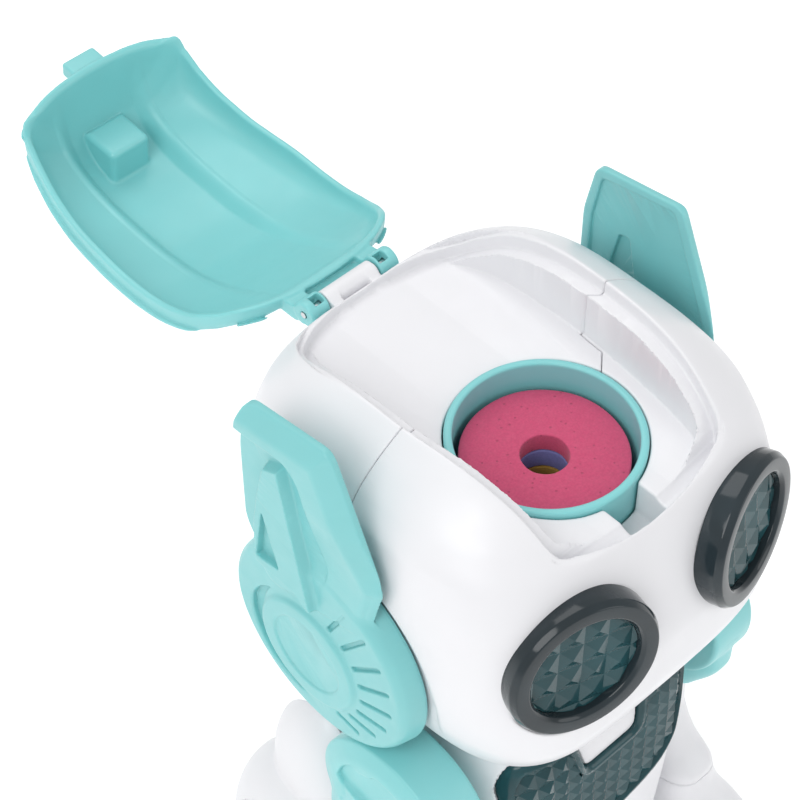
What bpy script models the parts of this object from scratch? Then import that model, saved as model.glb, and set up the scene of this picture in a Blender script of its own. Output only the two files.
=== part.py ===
"""Sitting robot dog toy with a foam-disc magazine in its head and a hinged lid, modelled as separate parts."""

import math

import bmesh
import bpy
import numpy as np
from mathutils import Matrix, Vector

# Lengths below are millimetres from the centre of the magazine's rim: +X is the dog's left, -Y its front.
MM = 0.001
RIM_Y = -57.83
RIM_Z = 190.0
GAP = 0.3

HINGE_Y = 63.6
HINGE_Z = -1.7
LID_OPEN_DEG = 175.0
SEAM_Y = 12.85
SHOULDER = (-5.0, -92.0)
FLOOR = -RIM_Z

DISC_R = 19.0
DISC_HOLE_R = 5.5
DISC_THICK = 5.2
DISC_PITCH = 5.5
DISC_TOP = -6.7
DISC_COUNT = 11
TUBE_R = 22.35
TUBE_BORE_R = 20.4
CHAMBER_TOP = -66.9
CHAMBER_FLOOR = -73.0
CANYON_FLOOR = -1.6

# level, half width, front y, rear y, power of the front curve, power of the rear curve
HEAD = (
    (-80.0, 22.0, -13.0, 40.0, 2.6, 2.6),
    (-78.0, 28.0, -20.0, 46.5, 2.8, 2.8),
    (-73.0, 34.4, -27.6, 53.0, 3.1, 3.0),
    (-66.5, 40.0, -33.4, 57.0, 3.5, 3.4),
    (-58.0, 44.0, -37.8, 59.5, 4.0, 3.7),
    (-46.0, 47.3, -41.2, 61.0, 4.5, 3.8),
    (-34.0, 48.0, -41.2, 61.5, 5.0, 3.8),
    (-21.0, 48.0, -38.5, 61.0, 5.0, 3.8),
    (-10.0, 47.0, -35.5, 59.5, 4.6, 3.6),
    (0.0, 44.0, -31.6, 56.5, 3.4, 3.3),
    (6.0, 40.8, -27.8, 52.5, 3.2, 3.2),
    (11.0, 36.7, -23.0, 47.0, 3.3, 3.3),
    (14.6, 32.5, -17.6, 41.5, 3.5, 3.5),
    (16.5, 30.0, -13.0, 37.0, 3.4, 3.4),
    (19.0, 23.0, -7.5, 29.0, 3.0, 3.0),
    (21.0, 13.0, 1.0, 20.0, 2.4, 2.4),
)
TORSO = (
    (-185.0, 34.0, -22.0, 50.0, 3.6, 3.6),
    (-178.0, 37.0, -24.0, 52.0, 3.8, 3.8),
    (-150.0, 38.0, -26.5, 51.0, 4.0, 4.0),
    (-120.0, 38.0, -28.0, 48.5, 4.0, 4.0),
    (-92.0, 37.3, -27.4, 47.0, 4.0, 4.0),
    (-84.0, 35.5, -26.0, 46.0, 3.8, 3.8),
    (-74.0, 32.0, -24.0, 44.0, 3.6, 3.6),
)
# plan of the lid's seat: half width at each station, front to rear
SEAT = (
    (-31.6, 0.0),
    (-30.6, 14.0),
    (-27.2, 25.6),
    (-19.6, 26.8),
    (-10.5, 28.3),
    (0.0, 29.5),
    (13.0, 30.5),
    (21.0, 30.5),
    (30.0, 30.2),
    (40.0, 29.4),
    (47.5, 27.0),
    (52.4, 23.8),
    (56.2, 17.5),
    (58.2, 9.0),
    (58.6, 0.0),
)
# height of the lid's rim, closed, at stations along y
RIM_STATIONS = (-33.0, -27.2, -24.5, -19.6, -10.5, 0.0, 13.0, 21.0, 30.0, 40.0, 47.5, 52.4, 56.2, 59.0)
RIM_HEIGHTS = (-1.2, 0.8, 4.9, 9.7, 13.9, 15.6, 15.2, 14.9, 13.7, 10.3, 5.6, 2.2, 0.9, 0.6)
# height of the lid's crown line, closed
CROWN_STATIONS = (-33.0, -30.5, -27.0, -22.0, -14.0, -4.0, 8.0, 22.0, 34.0, 44.0, 52.0, 59.0)
CROWN_HEIGHTS = (6.0, 15.0, 21.5, 25.5, 27.6, 28.2, 28.0, 25.8, 21.0, 14.8, 8.8, 3.6)

COLOURS = {
    "white_shell": ((0.83, 0.84, 0.86), 0.28, 0.0),
    "mint_shell": ((0.25, 0.66, 0.64), 0.35, 0.0),
    "smoked_ring": ((0.045, 0.05, 0.06), 0.12, 0.0),
    "smoked_lens": ((0.02, 0.09, 0.10), 0.1, 0.0),
    "foam_pink": ((0.58, 0.08, 0.19), 0.9, 0.0),
    "foam_lavender": ((0.2, 0.22, 0.55), 0.9, 0.0),
    "foam_yellow": ((0.6, 0.38, 0.05), 0.9, 0.0),
    "foam_purple": ((0.22, 0.1, 0.4), 0.9, 0.0),
    "steel": ((0.6, 0.6, 0.62), 0.3, 1.0),
    "motor_can": ((0.55, 0.56, 0.58), 0.35, 1.0),
    "circuit_board": ((0.02, 0.2, 0.08), 0.5, 0.0),
    "dark_plastic": ((0.03, 0.03, 0.035), 0.5, 0.0),
    "nylon_gear": ((0.8, 0.78, 0.7), 0.5, 0.0),
    "rubber": ((0.03, 0.03, 0.03), 0.8, 0.0),
    "battery_wrap": ((0.05, 0.12, 0.35), 0.4, 0.0),
}


def make_material(slot):
    colour, roughness, metallic = COLOURS[slot]
    material = bpy.data.materials.new(slot)
    material.use_nodes = True
    shader = material.node_tree.nodes["Principled BSDF"]
    shader.inputs["Base Color"].default_value = (*colour, 1.0)
    shader.inputs["Roughness"].default_value = roughness
    shader.inputs["Metallic"].default_value = metallic
    material.diffuse_color = (*colour, 1.0)
    return material


def make_collection(name):
    collection = bpy.data.collections.new(name)
    bpy.context.scene.collection.children.link(collection)
    return collection


def world(point):
    return Vector((point[0], point[1] + RIM_Y, point[2] + RIM_Z)) * MM


def link(obj, slot):
    """Puts the object with the parts, or with the cutters if it has no material slot."""
    if slot is None:
        CUTTERS.objects.link(obj)
        obj.hide_render = True
        obj.display_type = "WIRE"
    else:
        PARTS.objects.link(obj)
        obj.data.materials.clear()
        obj.data.materials.append(MATERIALS[slot])
    return obj


def solid_from(name, built, slot, origin=(0.0, 0.0, 0.0)):
    """An object from a bmesh whose points are millimetres in the dog's frame."""
    built.normal_update()
    bmesh.ops.recalc_face_normals(built, faces=built.faces)
    mesh = bpy.data.meshes.new(name)
    built.to_mesh(mesh)
    built.free()
    obj = bpy.data.objects.new(name, mesh)
    start = world(origin)
    for vertex in mesh.vertices:
        vertex.co = world(vertex.co) - start
    obj.location = start
    return link(obj, slot)


def loft(name, rings, slot, origin=(0.0, 0.0, 0.0), closed=False):
    """Skins rings of equal count. An open run of rings is capped, a closed one joins its last ring to its first."""
    built = bmesh.new()
    rows = [[built.verts.new(point) for point in ring] for ring in rings]
    count = len(rows[0])
    pairs = list(zip(rows, rows[1:]))
    if closed:
        pairs.append((rows[-1], rows[0]))
    for low, high in pairs:
        for i in range(count):
            j = (i + 1) % count
            built.faces.new((low[i], low[j], high[j], high[i]))
    if not closed:
        built.faces.new(rows[0])
        built.faces.new(rows[-1])
    return solid_from(name, built, slot, origin)


def box(name, low, high, slot=None, origin=(0.0, 0.0, 0.0), bevel=0.0):
    built = bmesh.new()
    bmesh.ops.create_cube(built, size=1.0)
    middle = [(low[i] + high[i]) / 2 for i in range(3)]
    for vertex in built.verts:
        vertex.co = [middle[i] + vertex.co[i] * (high[i] - low[i]) for i in range(3)]
    obj = solid_from(name, built, slot, origin)
    if bevel:
        add_bevel(obj, bevel)
    return obj


def add_bevel(obj, width, segments=1):
    modifier = obj.modifiers.new("Bevel", "BEVEL")
    modifier.width = width * MM
    modifier.segments = segments
    modifier.limit_method = "ANGLE"
    modifier.angle_limit = math.radians(40)
    return obj


def cylinder(name, centre, axis, radius, length, slot=None, sides=24, origin=None, tip=None):
    """A cylinder or, with tip, a cone, centred on centre and turned along axis."""
    built = bmesh.new()
    bmesh.ops.create_cone(
        built,
        cap_ends=True,
        segments=sides,
        radius1=radius,
        radius2=radius if tip is None else tip,
        depth=length,
    )
    turn = Vector(axis).to_track_quat("Z", "Y").to_matrix().to_4x4()
    bmesh.ops.transform(built, matrix=Matrix.Translation(Vector(centre)) @ turn, verts=built.verts)
    return solid_from(name, built, slot, origin or (0.0, 0.0, 0.0))


def ball(name, centre, size, slot=None, origin=None, rings=10, sides=16):
    built = bmesh.new()
    bmesh.ops.create_uvsphere(built, u_segments=sides, v_segments=rings, radius=1.0)
    for vertex in built.verts:
        vertex.co = [centre[i] + vertex.co[i] * size[i] for i in range(3)]
    return solid_from(name, built, slot, origin or (0.0, 0.0, 0.0))


def turned(name, profile, centre, axis, slot, steps=32, ring=True):
    """A turned part: profile is (radius, height) pairs, down the outer side and, for a ring, up the inner one."""
    mesh = bpy.data.meshes.new(name)
    count = len(profile)
    edges = [(i, i + 1) for i in range(count - 1)]
    if ring:
        edges.append((count - 1, 0))
    mesh.from_pydata([(r * MM, 0.0, h * MM) for r, h in profile], edges, [])
    obj = bpy.data.objects.new(name, mesh)
    obj.location = world(centre)
    obj.rotation_mode = "QUATERNION"
    obj.rotation_quaternion = Vector(axis).to_track_quat("Z", "Y")
    screw = obj.modifiers.new("Screw", "SCREW")
    screw.axis = "Z"
    screw.steps = steps
    screw.render_steps = steps
    screw.use_merge_vertices = True
    screw.merge_threshold = 0.00001
    return link(obj, slot)


def outline(name, points, plane, low, high, slot=None, origin=(0.0, 0.0, 0.0)):
    """A flat outline extruded between two heights along the axis that the plane leaves out."""
    curve = bpy.data.curves.new(name, "CURVE")
    curve.dimensions = "2D"
    curve.fill_mode = "BOTH"
    curve.extrude = (high - low) / 2 * MM
    spline = curve.splines.new("POLY")
    spline.points.add(len(points) - 1)
    for target, (u, v) in zip(spline.points, points):
        target.co = (u * MM, v * MM, 0.0, 1.0)
    spline.use_cyclic_u = True
    holder = bpy.data.objects.new(name + "_curve", curve)
    bpy.context.scene.collection.objects.link(holder)
    bpy.context.view_layer.update()
    graph = bpy.context.evaluated_depsgraph_get()
    mesh = bpy.data.meshes.new_from_object(holder.evaluated_get(graph))
    bpy.data.objects.remove(holder)
    bpy.data.curves.remove(curve)
    built = bmesh.new()
    built.from_mesh(mesh)
    bpy.data.meshes.remove(mesh)
    bmesh.ops.remove_doubles(built, verts=built.verts, dist=1e-6)
    middle = (low + high) / 2
    for vertex in built.verts:
        u, v, w = vertex.co / MM
        w += middle
        vertex.co = {"XY": (u, v, w), "XZ": (u, w, v), "YZ": (w, u, v)}[plane]
    return solid_from(name, built, slot, origin)


def boolean(obj, other, operation="DIFFERENCE"):
    modifier = obj.modifiers.new(operation.title() + " " + other.name, "BOOLEAN")
    modifier.operation = operation
    modifier.solver = "EXACT"
    modifier.object = other
    return obj


def cut(obj, *cutters):
    for cutter in cutters:
        boolean(obj, cutter)
    return obj


def join(obj, *others):
    for other in others:
        boolean(obj, other, "UNION")
    return obj


def plan_section(row, grow, lift, count):
    """One level of a shell: a rounded rectangle whose front and rear curves have their own powers."""
    level, half, front, rear, front_power, rear_power = row
    half += grow
    front -= grow
    rear += grow
    middle = (front + rear) / 2
    depth = (rear - front) / 2
    points = []
    for i in range(count):
        angle = 2 * math.pi * i / count
        c, s = math.cos(angle), math.sin(angle)
        power = 2 / (rear_power if s > 0 else front_power)
        x = half * math.copysign(abs(c) ** power, c)
        y = middle + depth * math.copysign(abs(s) ** power, s)
        points.append((x, y, level + lift))
    return points


def shell_rings(levels, grow, count):
    """The levels of a shell, grown outwards by grow, with its top and bottom moved by as much."""
    low, high = levels[0][0], levels[-1][0]
    rings = []
    for row in levels:
        share = 2 * (row[0] - low) / (high - low) - 1
        rings.append(plan_section(row, grow, grow * share, count))
    return rings


def seat_loop(inset):
    """The lid's seat in plan as a closed loop, inset from its edge, starting at the front."""
    side = []
    for y, x in SEAT:
        pull = Vector((x, y - 12.0))
        side.append(((x, y), pull.normalized()))
    loop = [(x - n.x * inset, y - n.y * inset) for (x, y), n in side]
    return loop + [(-x, y) for x, y in reversed(loop[1:-1])]


def rim_height(y):
    return float(np.interp(y, RIM_STATIONS, RIM_HEIGHTS))


def half_width(y):
    return float(np.interp(y, [s[0] for s in SEAT[2:-2]], [s[1] for s in SEAT[2:-2]]))


def dome_height(x, y):
    """The closed lid's outer surface: a dome with a raised stripe along its middle."""
    edge = rim_height(y) + 4.0
    crown = max(float(np.interp(y, CROWN_STATIONS, CROWN_HEIGHTS)), edge)
    share = min(abs(x) / (half_width(y) + 1.0), 1.0)
    stripe = 3.2 * min(max((14.0 - abs(x)) / 4.0, 0.0), 1.0)
    return edge + (crown - 3.2 - edge) * (1 - share**2.4) + stripe * min((crown - edge) / 10.0, 1.0)


def lid_ring(inset, share, height):
    """A ring of the closed lid: share of the way from the lid's middle to its rim, height from (x, y)."""
    points = []
    for x, y in seat_loop(inset):
        px, py = x * share, 12.0 + (y - 12.0) * share
        points.append(opened((px, py, height(px, py))))
    return points


def opened(point):
    """Turns a point of the closed lid to where it stands with the lid open."""
    angle = -math.radians(LID_OPEN_DEG)
    y, z = point[1] - HINGE_Y, point[2] - HINGE_Z
    c, s = math.cos(angle), math.sin(angle)
    return (point[0], HINGE_Y + y * c - z * s, HINGE_Z + y * s + z * c)


def open_box(name, low, high):
    """A box given in the closed lid's frame, turned to where the open lid stands."""
    corners = ((low[0], low[1]), (high[0], low[1]), (high[0], high[1]), (low[0], high[1]))
    bottom = [opened((x, y, low[2])) for x, y in corners]
    top = [opened((x, y, high[2])) for x, y in corners]
    return loft(name, [bottom, top], None)


def magazine():
    tube = turned(
        "magazine_tube",
        [
            (TUBE_R - 0.5, 0.0),
            (TUBE_R, -0.5),
            (TUBE_R, CHAMBER_FLOOR - 1.8),
            (4.0, CHAMBER_FLOOR - 1.8),
            (4.0, CHAMBER_FLOOR),
            (TUBE_BORE_R, CHAMBER_FLOOR),
            (TUBE_BORE_R, -0.5),
            (TUBE_BORE_R + 0.5, 0.0),
        ],
        (0, 0, 0),
        (0, 0, 1),
        "mint_shell",
        steps=36,
    )
    outlet = box("cut_tube_outlet", (-30, -30, CHAMBER_FLOOR + 0.01), (30, 1, CHAMBER_TOP))
    rear = box("cut_tube_rear", (-20.6, 0, CHAMBER_FLOOR + 0.01), (14.4, 30, CHAMBER_TOP))
    cut(tube, outlet, rear)
    order = ("foam_pink", "foam_lavender", "foam_yellow", "foam_purple")
    for i in range(DISC_COUNT):
        top = DISC_TOP - DISC_PITCH * i
        turned(
            f"foam_disc_{i + 1:02d}",
            [
                (DISC_R, 0.0),
                (DISC_R, -DISC_THICK),
                (DISC_HOLE_R, -DISC_THICK),
                (DISC_HOLE_R, 0.0),
            ],
            (0, 0, top),
            (0, 0, 1),
            order[i % 4],
            steps=24,
        )


def head():
    outer = shell_rings(HEAD, 0.0, 44)
    shell = loft("head_shell_front", outer, "white_shell")
    rear = loft("head_shell_rear", outer, "white_shell")
    hollow = loft("cut_head_hollow", shell_rings(HEAD, -2.2, 32), None)
    canyon = []
    for y, x in SEAT[2:-3]:
        canyon.append((x - 3.4, y if y > -27 else -23.6))
    canyon = [(22.2, -45.0)] + canyon + [(20.0, 70.0)]
    loop = canyon + [(-x, y) for x, y in reversed(canyon)]
    trough = outline("cut_canyon", loop, "XY", CANYON_FLOOR, 60.0)
    wide = [(x + 2.2 if x > 0 else x - 2.2, y) for x, y in loop]
    cover = outline("keep_canyon_walls", wide, "XY", CANYON_FLOOR - 2.2, 60.0)
    cut(hollow, cover, box("keep_notch_walls", (-7.4, -70, -12.8), (7.4, -17, 70)))
    ledge_rings = []
    for lift, inset in ((0.0, 0.0), (60.0, 0.0)):
        ring = []
        for x, y in seat_loop(inset):
            ring.append((x, y, lift or max(rim_height(y) - 2.6, -2.7)))
        ledge_rings.append(ring)
    inner = [(x * 0.3, 12 + (y - 12) * 0.3, 12.0) for x, y in seat_loop(0.0)]
    ledge = loft("cut_lid_ledge", [inner] + ledge_rings, None)
    sill = [(-25.8, -45), (25.8, -45), (25.8, -23.6), (22.4, -23.6), (14, -26.6), (0, -27.8)]
    sill += [(-14, -26.6), (-22.4, -23.6), (-25.8, -23.6)]
    front_sill = outline("cut_front_sill", sill, "XY", -3.15, 61.0)
    well = cylinder("cut_magazine_well", (0, 0, -30), (0, 0, 1), TUBE_R + GAP, 90, sides=36)
    notch = box("cut_latch_notch", (-5.25, -46, -10.7), (5.25, -18, 42))
    outlet = box("cut_disc_outlet", (-20.8, -45, CHAMBER_FLOOR - 0.3), (20.8, -12, CHAMBER_TOP + 0.3))
    neck = cylinder("cut_head_neck", (0, 12, -80), (0, 0, 1), 14.3, 14)
    stud = cylinder("cut_ear_studs", (0, 19.5, -47.6), (1, 0, 0), 10.3, 110)
    front_cut = box("cut_front_half", (-80, SEAM_Y, -120), (80, 120, 80))
    rear_cut = box("cut_rear_half", (-83, -119, -117), (85, SEAM_Y + 0.4, 91))
    cut(shell, front_cut)
    cut(rear, rear_cut)
    for half in (shell, rear):
        cut(half, hollow, trough, ledge, well, neck, stud)
    cut(shell, notch, outlet, front_sill)
    for side, name in ((-1, "right"), (1, "left")):
        cut(shell, eye_seat(name, side))
    relief = cylinder("cut_hinge_relief", (0, HINGE_Y, HINGE_Z), (1, 0, 0), 4.6, 30)
    barrel = cylinder("add_hinge_barrel", (0, HINGE_Y, HINGE_Z), (1, 0, 0), 2.6, 15.0, sides=20)
    foot_profile = [(53.0, -6.6), (63.4, -6.6), (65.2, -3.6), (64.4, -0.2), (62.4, 0.6), (55.0, -2.6), (53, -2.6)]
    feet = [
        outline("add_hinge_foot_right", foot_profile, "YZ", -7.35, -4.3),
        outline("add_hinge_foot_left", foot_profile, "YZ", 4.3, 7.35),
    ]
    pin_hole = cylinder("cut_pin_hole", (0, HINGE_Y, HINGE_Z), (1, 0, 0), 0.95, 60, sides=16)
    cut(rear, relief)
    join(rear, barrel, *feet)
    cut(rear, pin_hole)


def eye_frame(side):
    """Centre and outward normal of an eye."""
    yaw, pitch = math.radians(15.2) * side, math.radians(6.0)
    normal = Vector((math.sin(yaw) * math.cos(pitch), -math.cos(yaw) * math.cos(pitch), math.sin(pitch)))
    return Vector((26.2 * side, -37.4, -21.4)), normal


def eye_seat(name, side):
    centre, normal = eye_frame(side)
    seat = cylinder(f"cut_eye_seat_{name}", centre + normal * 9.2, normal, 18.7, 20.0, sides=32)
    bore = cylinder(f"cut_eye_bore_{name}", centre, normal, 13.4, 40.0, sides=28)
    return join(seat, bore)


def eyes():
    for side, name in ((-1, "right"), (1, "left")):
        centre, normal = eye_frame(side)
        turned(
            f"eye_ring_{name}",
            [(14.9, 3.6), (16.6, 3.6), (18.35, 1.6), (18.35, -0.5), (14.3, -0.5), (14.3, 1.8)],
            centre,
            normal,
            "smoked_ring",
            steps=28,
        )
        turned(
            f"eye_lens_{name}",
            [(0.0, 2.4), (8.0, 2.2), (14.0, 1.2), (14.0, -0.4), (13.1, -0.5), (13.1, -2.4), (0.0, -2.4)],
            centre,
            normal,
            "smoked_lens",
            steps=24,
            ring=False,
        )
        cylinder(
            f"eye_light_board_{name}",
            centre - normal * 4.0,
            normal,
            12.0,
            1.6,
            "circuit_board",
            sides=20,
        )


def lid():
    def rim_low(x, y):
        return rim_height(y) - 1.9

    def wall_low(x, y):
        return rim_height(y) + 1.8

    def wall_high(x, y):
        return rim_height(y) + 4.0

    def outside(x, y):
        return dome_height(x, y)

    def inside(x, y):
        return dome_height(x, y) - 2.2

    def inner_wall(x, y):
        return rim_height(y) + 1.8

    rings = [
        lid_ring(0.6, 1.0, rim_low),
        lid_ring(0.6, 1.0, wall_low),
        lid_ring(-1.0, 1.0, wall_low),
        lid_ring(-0.8, 1.0, wall_high),
        lid_ring(0.0, 0.92, outside),
        lid_ring(0.0, 0.75, outside),
        lid_ring(0.0, 0.55, outside),
        lid_ring(0.0, 0.3, outside),
        lid_ring(0.0, 0.08, outside),
    ]
    under = [
        lid_ring(0.0, 0.08, inside),
        lid_ring(0.0, 0.3, inside),
        lid_ring(0.0, 0.54, inside),
        lid_ring(0.0, 0.73, inside),
        lid_ring(0.0, 0.86, inside),
        lid_ring(2.6, 1.0, inner_wall),
        lid_ring(2.4, 1.0, rim_low),
    ]
    origin = (0.0, HINGE_Y, HINGE_Z)
    count = len(rings[0])
    built = bmesh.new()
    rows = [[built.verts.new(p) for p in ring] for ring in rings]
    below = [[built.verts.new(p) for p in ring] for ring in under]
    loops = list(zip(rows, rows[1:])) + list(zip(below, below[1:])) + [(below[-1], rows[0])]
    for low, high in loops:
        for i in range(count):
            j = (i + 1) % count
            built.faces.new((low[i], low[j], high[j], high[i]))
    built.faces.new(rows[-1])
    built.faces.new(below[0])
    top = solid_from("lid", built, "mint_shell", origin)
    boss = open_box("add_lid_boss", (-6.5, -29.5, 16.0), (6.5, -16.5, 25.0))
    add_bevel(boss, 2.0)
    tab = open_box("add_latch_tab", (-4.9, -36.2, -1.2), (4.9, -32.0, 3.0))
    pieces = [boss, tab]
    cutters = []
    for side, name in ((-1, "right"), (1, "left")):
        near, far = sorted((8.05 * side, 13.35 * side))
        knuckle = cylinder(
            f"add_knuckle_{name}", (10.7 * side, HINGE_Y, HINGE_Z), (1, 0, 0), 3.25, 5.6, sides=20
        )
        arm_profile = [(63.4, -4.6), (63.6, 1.4), (59.5, 3.2), (56.0, 3.2), (56.0, -0.4), (59.6, -1.2)]
        arm_points = [opened((0, y, z))[1:] for y, z in arm_profile]
        arm = outline(f"add_arm_{name}", arm_points, "YZ", near, far)
        pieces += [knuckle, arm]
        inner, outer = sorted((8.6 * side, 11.4 * side))
        cutters.append(
            box(f"cut_window_{name}", (inner, HINGE_Y - 1.6, HINGE_Z + 0.4), (outer, HINGE_Y + 1.6, HINGE_Z + 6))
        )
    join(top, *pieces)
    bore = cylinder("cut_knuckle_bore", (0, HINGE_Y, HINGE_Z), (1, 0, 0), 0.9, 60, sides=16)
    cut(top, *cutters, bore)
    cylinder("lid_hinge_pin", (0, HINGE_Y, HINGE_Z), (1, 0, 0), 0.8, 27.4, "steel", sides=16)


def ears():
    fin = [(35.0, 22.0), (11.7, 25.2), (-1.0, -16.0), (2.6, -28.6), (32.2, -35.0), (38.4, -24.3)]
    pocket = [(31.8, 19.0), (14.0, 21.6), (3.4, -14.0), (34.2, -20.0)]
    ridge = [(24.5, 15.0), (20.5, 15.5), (8.0, -19.0), (31.0, -22.5)]
    hollow = [(23.0, 1.0), (14.0, -16.6), (27.0, -18.6)]
    for side, name in ((-1, "right"), (1, "left")):
        def span(low, high):
            return sorted((low * side, high * side))

        centre_y, centre_z = 19.5, -47.6
        pod = cylinder(f"ear_{name}", (51.1 * side, centre_y, centre_z), (1, 0, 0), 27.6, 5.0, "mint_shell", sides=36)
        add_bevel(pod, 1.2)
        cap = cylinder(
            f"add_ear_cap_{name}", (54.1 * side, centre_y, centre_z), (side, 0, 0), 13.5, 2.6, sides=30, tip=11.5
        )
        peg = cylinder(f"add_ear_stud_{name}", (47.0 * side, centre_y, centre_z), (1, 0, 0), 10.0, 6.0, sides=32)
        blade = outline(f"add_fin_{name}", fin, "YZ", *span(50.6, 53.2))
        rib = outline(f"add_ridge_{name}", ridge, "YZ", *span(52.65, 55.07))
        join(pod, cap, peg, blade, rib)
        cut(pod, outline(f"cut_fin_pocket_{name}", pocket, "YZ", *span(49.1, 51.37)))
        cut(pod, outline(f"cut_ridge_hollow_{name}", hollow, "YZ", *span(53.8, 60.0)))


def launcher():
    cylinder("launch_motor", (25.4, -7.0, -57.4), (0, 0, 1), 3.7, 17.6, "motor_can", sides=20)
    shaft = cylinder("add_launch_shaft", (25.4, -7.0, -68.0), (0, 0, 1), 0.8, 8.0, sides=12)
    join(bpy.data.objects["launch_motor"], shaft)
    turned(
        "launch_flywheel",
        [(5.1, 0.0), (5.1, -1.1), (4.7, -1.8), (5.1, -2.5), (5.1, -3.6), (0.9, -3.6), (0.9, 0.0)],
        (25.4, -7.0, -67.5),
        (0, 0, 1),
        "rubber",
        steps=24,
    )
    rack = [(12.9, 26.9), (12.9, -4.5), (-11.5, -4.5), (-11.5, 2.0)]
    pitch = math.pi
    start = 26.0 - 7 * pitch
    for i in range(8):
        middle = start + i * pitch
        rack += [(-11.5, middle - 0.8), (-13.4, middle - 0.3), (-13.4, middle + 0.3), (-11.5, middle + 0.8)]
    rack += [(-11.5, 26.9)]
    outline("disc_pusher", rack, "XY", -72.4, -67.5, "nylon_gear")
    gear = []
    for i in range(10):
        angle = 2 * math.pi * (i + 0.5) / 10
        for offset, radius in ((-0.2, 4.0), (-0.07, 5.75), (0.07, 5.75), (0.2, 4.0)):
            gear.append((-17.6 + radius * math.cos(angle + offset), 26.0 + radius * math.sin(angle + offset)))
    pinion = outline("feed_pinion", gear, "XY", -72.0, -67.6, "nylon_gear", origin=(-17.6, 26.0, -70.0))
    cut(pinion, cylinder("cut_pinion_bore", (-17.6, 26.0, -70), (0, 0, 1), 1.1, 20, sides=16))
    motor = cylinder("feed_motor", (-17.6, 26.0, -56.4), (0, 0, 1), 5.6, 19.6, "motor_can", sides=20)
    join(motor, cylinder("add_feed_shaft", (-17.6, 26.0, -68.0), (0, 0, 1), 1.0, 8.0, sides=16))


GRILLE = ((0, -110), (6, -110), (-6, -110), (3, -104.8), (-3, -104.8), (3, -115.2), (-3, -115.2))


def torso():
    outer = shell_rings(TORSO, 0.0, 36)
    front = loft("torso_shell_front", outer, "white_shell")
    rear = loft("torso_shell_rear", outer, "white_shell")
    levels = list(TORSO[:-2]) + [(-84.4,) + TORSO[-2][1:]]
    rings = [plan_section(row, -2.2, 0.0, 24) for row in levels]
    rings[0] = plan_section(TORSO[0], -2.2, -20.0, 24)
    hollow = loft("cut_torso_hollow", rings, None)
    grown = loft("cut_under_head", shell_rings(HEAD, 0.6, 32), None)
    neck = cylinder("cut_torso_neck", (0, 12, -84), (0, 0, 1), 14.3, 14)
    front_cut = box("cut_torso_front_half", (-80, 12.0, -220), (80, 120, 0))
    rear_cut = box("cut_torso_rear_half", (-80, -120, -220), (80, 12.0 + GAP, 0))
    bore = cylinder("cut_shoulder_bores", (0, SHOULDER[0], SHOULDER[1]), (1, 0, 0), 4.2, 120, sides=24)
    panel = [(11.6, -79.5), (8.8, -92.7), (-8.8, -92.7), (-11.6, -79.5), (-27.0, -79.5), (-31.0, -86.0)]
    panel += [(-32.0, -104.0), (-28.5, -115.5), (-20.0, -119.5), (0.0, -124.0), (20.0, -119.5)]
    panel += [(28.5, -115.5), (32.0, -104.0), (31.0, -86.0), (27.0, -79.5)]
    middle_x, middle_z = 0.0, -104.0
    grown_panel = []
    for x, z in panel:
        push = Vector((x - middle_x, z - middle_z)).normalized()
        if abs(x) < 12 and z > -93:
            push = Vector((-math.copysign(0.9, x), 0.0 if z > -90 else 0.6))
        grown_panel.append((x + push.x * 0.35, z + push.y * 0.35))
    pocket = outline("cut_panel_pocket", grown_panel, "XZ", -60.0, 0.0)
    cut(pocket, loft("keep_panel_floor", shell_rings(TORSO, -1.2, 36), None))
    chest = outline("chest_panel", panel, "XZ", -60.0, 0.0, "smoked_lens")
    boolean(chest, loft("panel_outside", shell_rings(TORSO, 1.6, 36), None), "INTERSECT")
    cut(chest, loft("panel_inside", shell_rings(TORSO, -0.8, 36), None))
    cut(front, hollow, grown, neck, bore, pocket, front_cut)
    tail_socket = ball("cut_tail_socket", (0, 50.5, -150), (5.6, 5.6, 5.6))
    speaker_cut = [
        cylinder(f"cut_grille_{i}", (x, 48, z), (0, 1, 0), 1.5, 20, sides=10)
        for i, (x, z) in enumerate(GRILLE)
    ]
    cut(rear, hollow, grown, neck, rear_cut, tail_socket, *speaker_cut)
    collar = turned(
        "neck_collar",
        [(13.9, -76.2), (13.9, -88.0), (17.0, -88.0), (17.0, -90.0), (11.0, -90.0), (11.0, -76.2)],
        (0, 12, 0),
        (0, 0, 1),
        "dark_plastic",
        steps=28,
    )
    cut(collar, box("cut_wire_slot", (-3, -6, -92), (3, 4, -86.5)))
    box("chest_light_board", (-20, -23.2, -116), (20, -21.8, -98), "circuit_board")
    box("main_board", (-24, -6.8, -152), (24, -5.2, -102), "circuit_board")
    cylinder("speaker", (0, 40.6, -110), (0, 1, 0), 14.0, 7.0, "dark_plastic", sides=28)
    box("battery_pack", (-24, 28, -181.5), (24, 45, -140), "battery_wrap", bevel=1.5)


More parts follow.
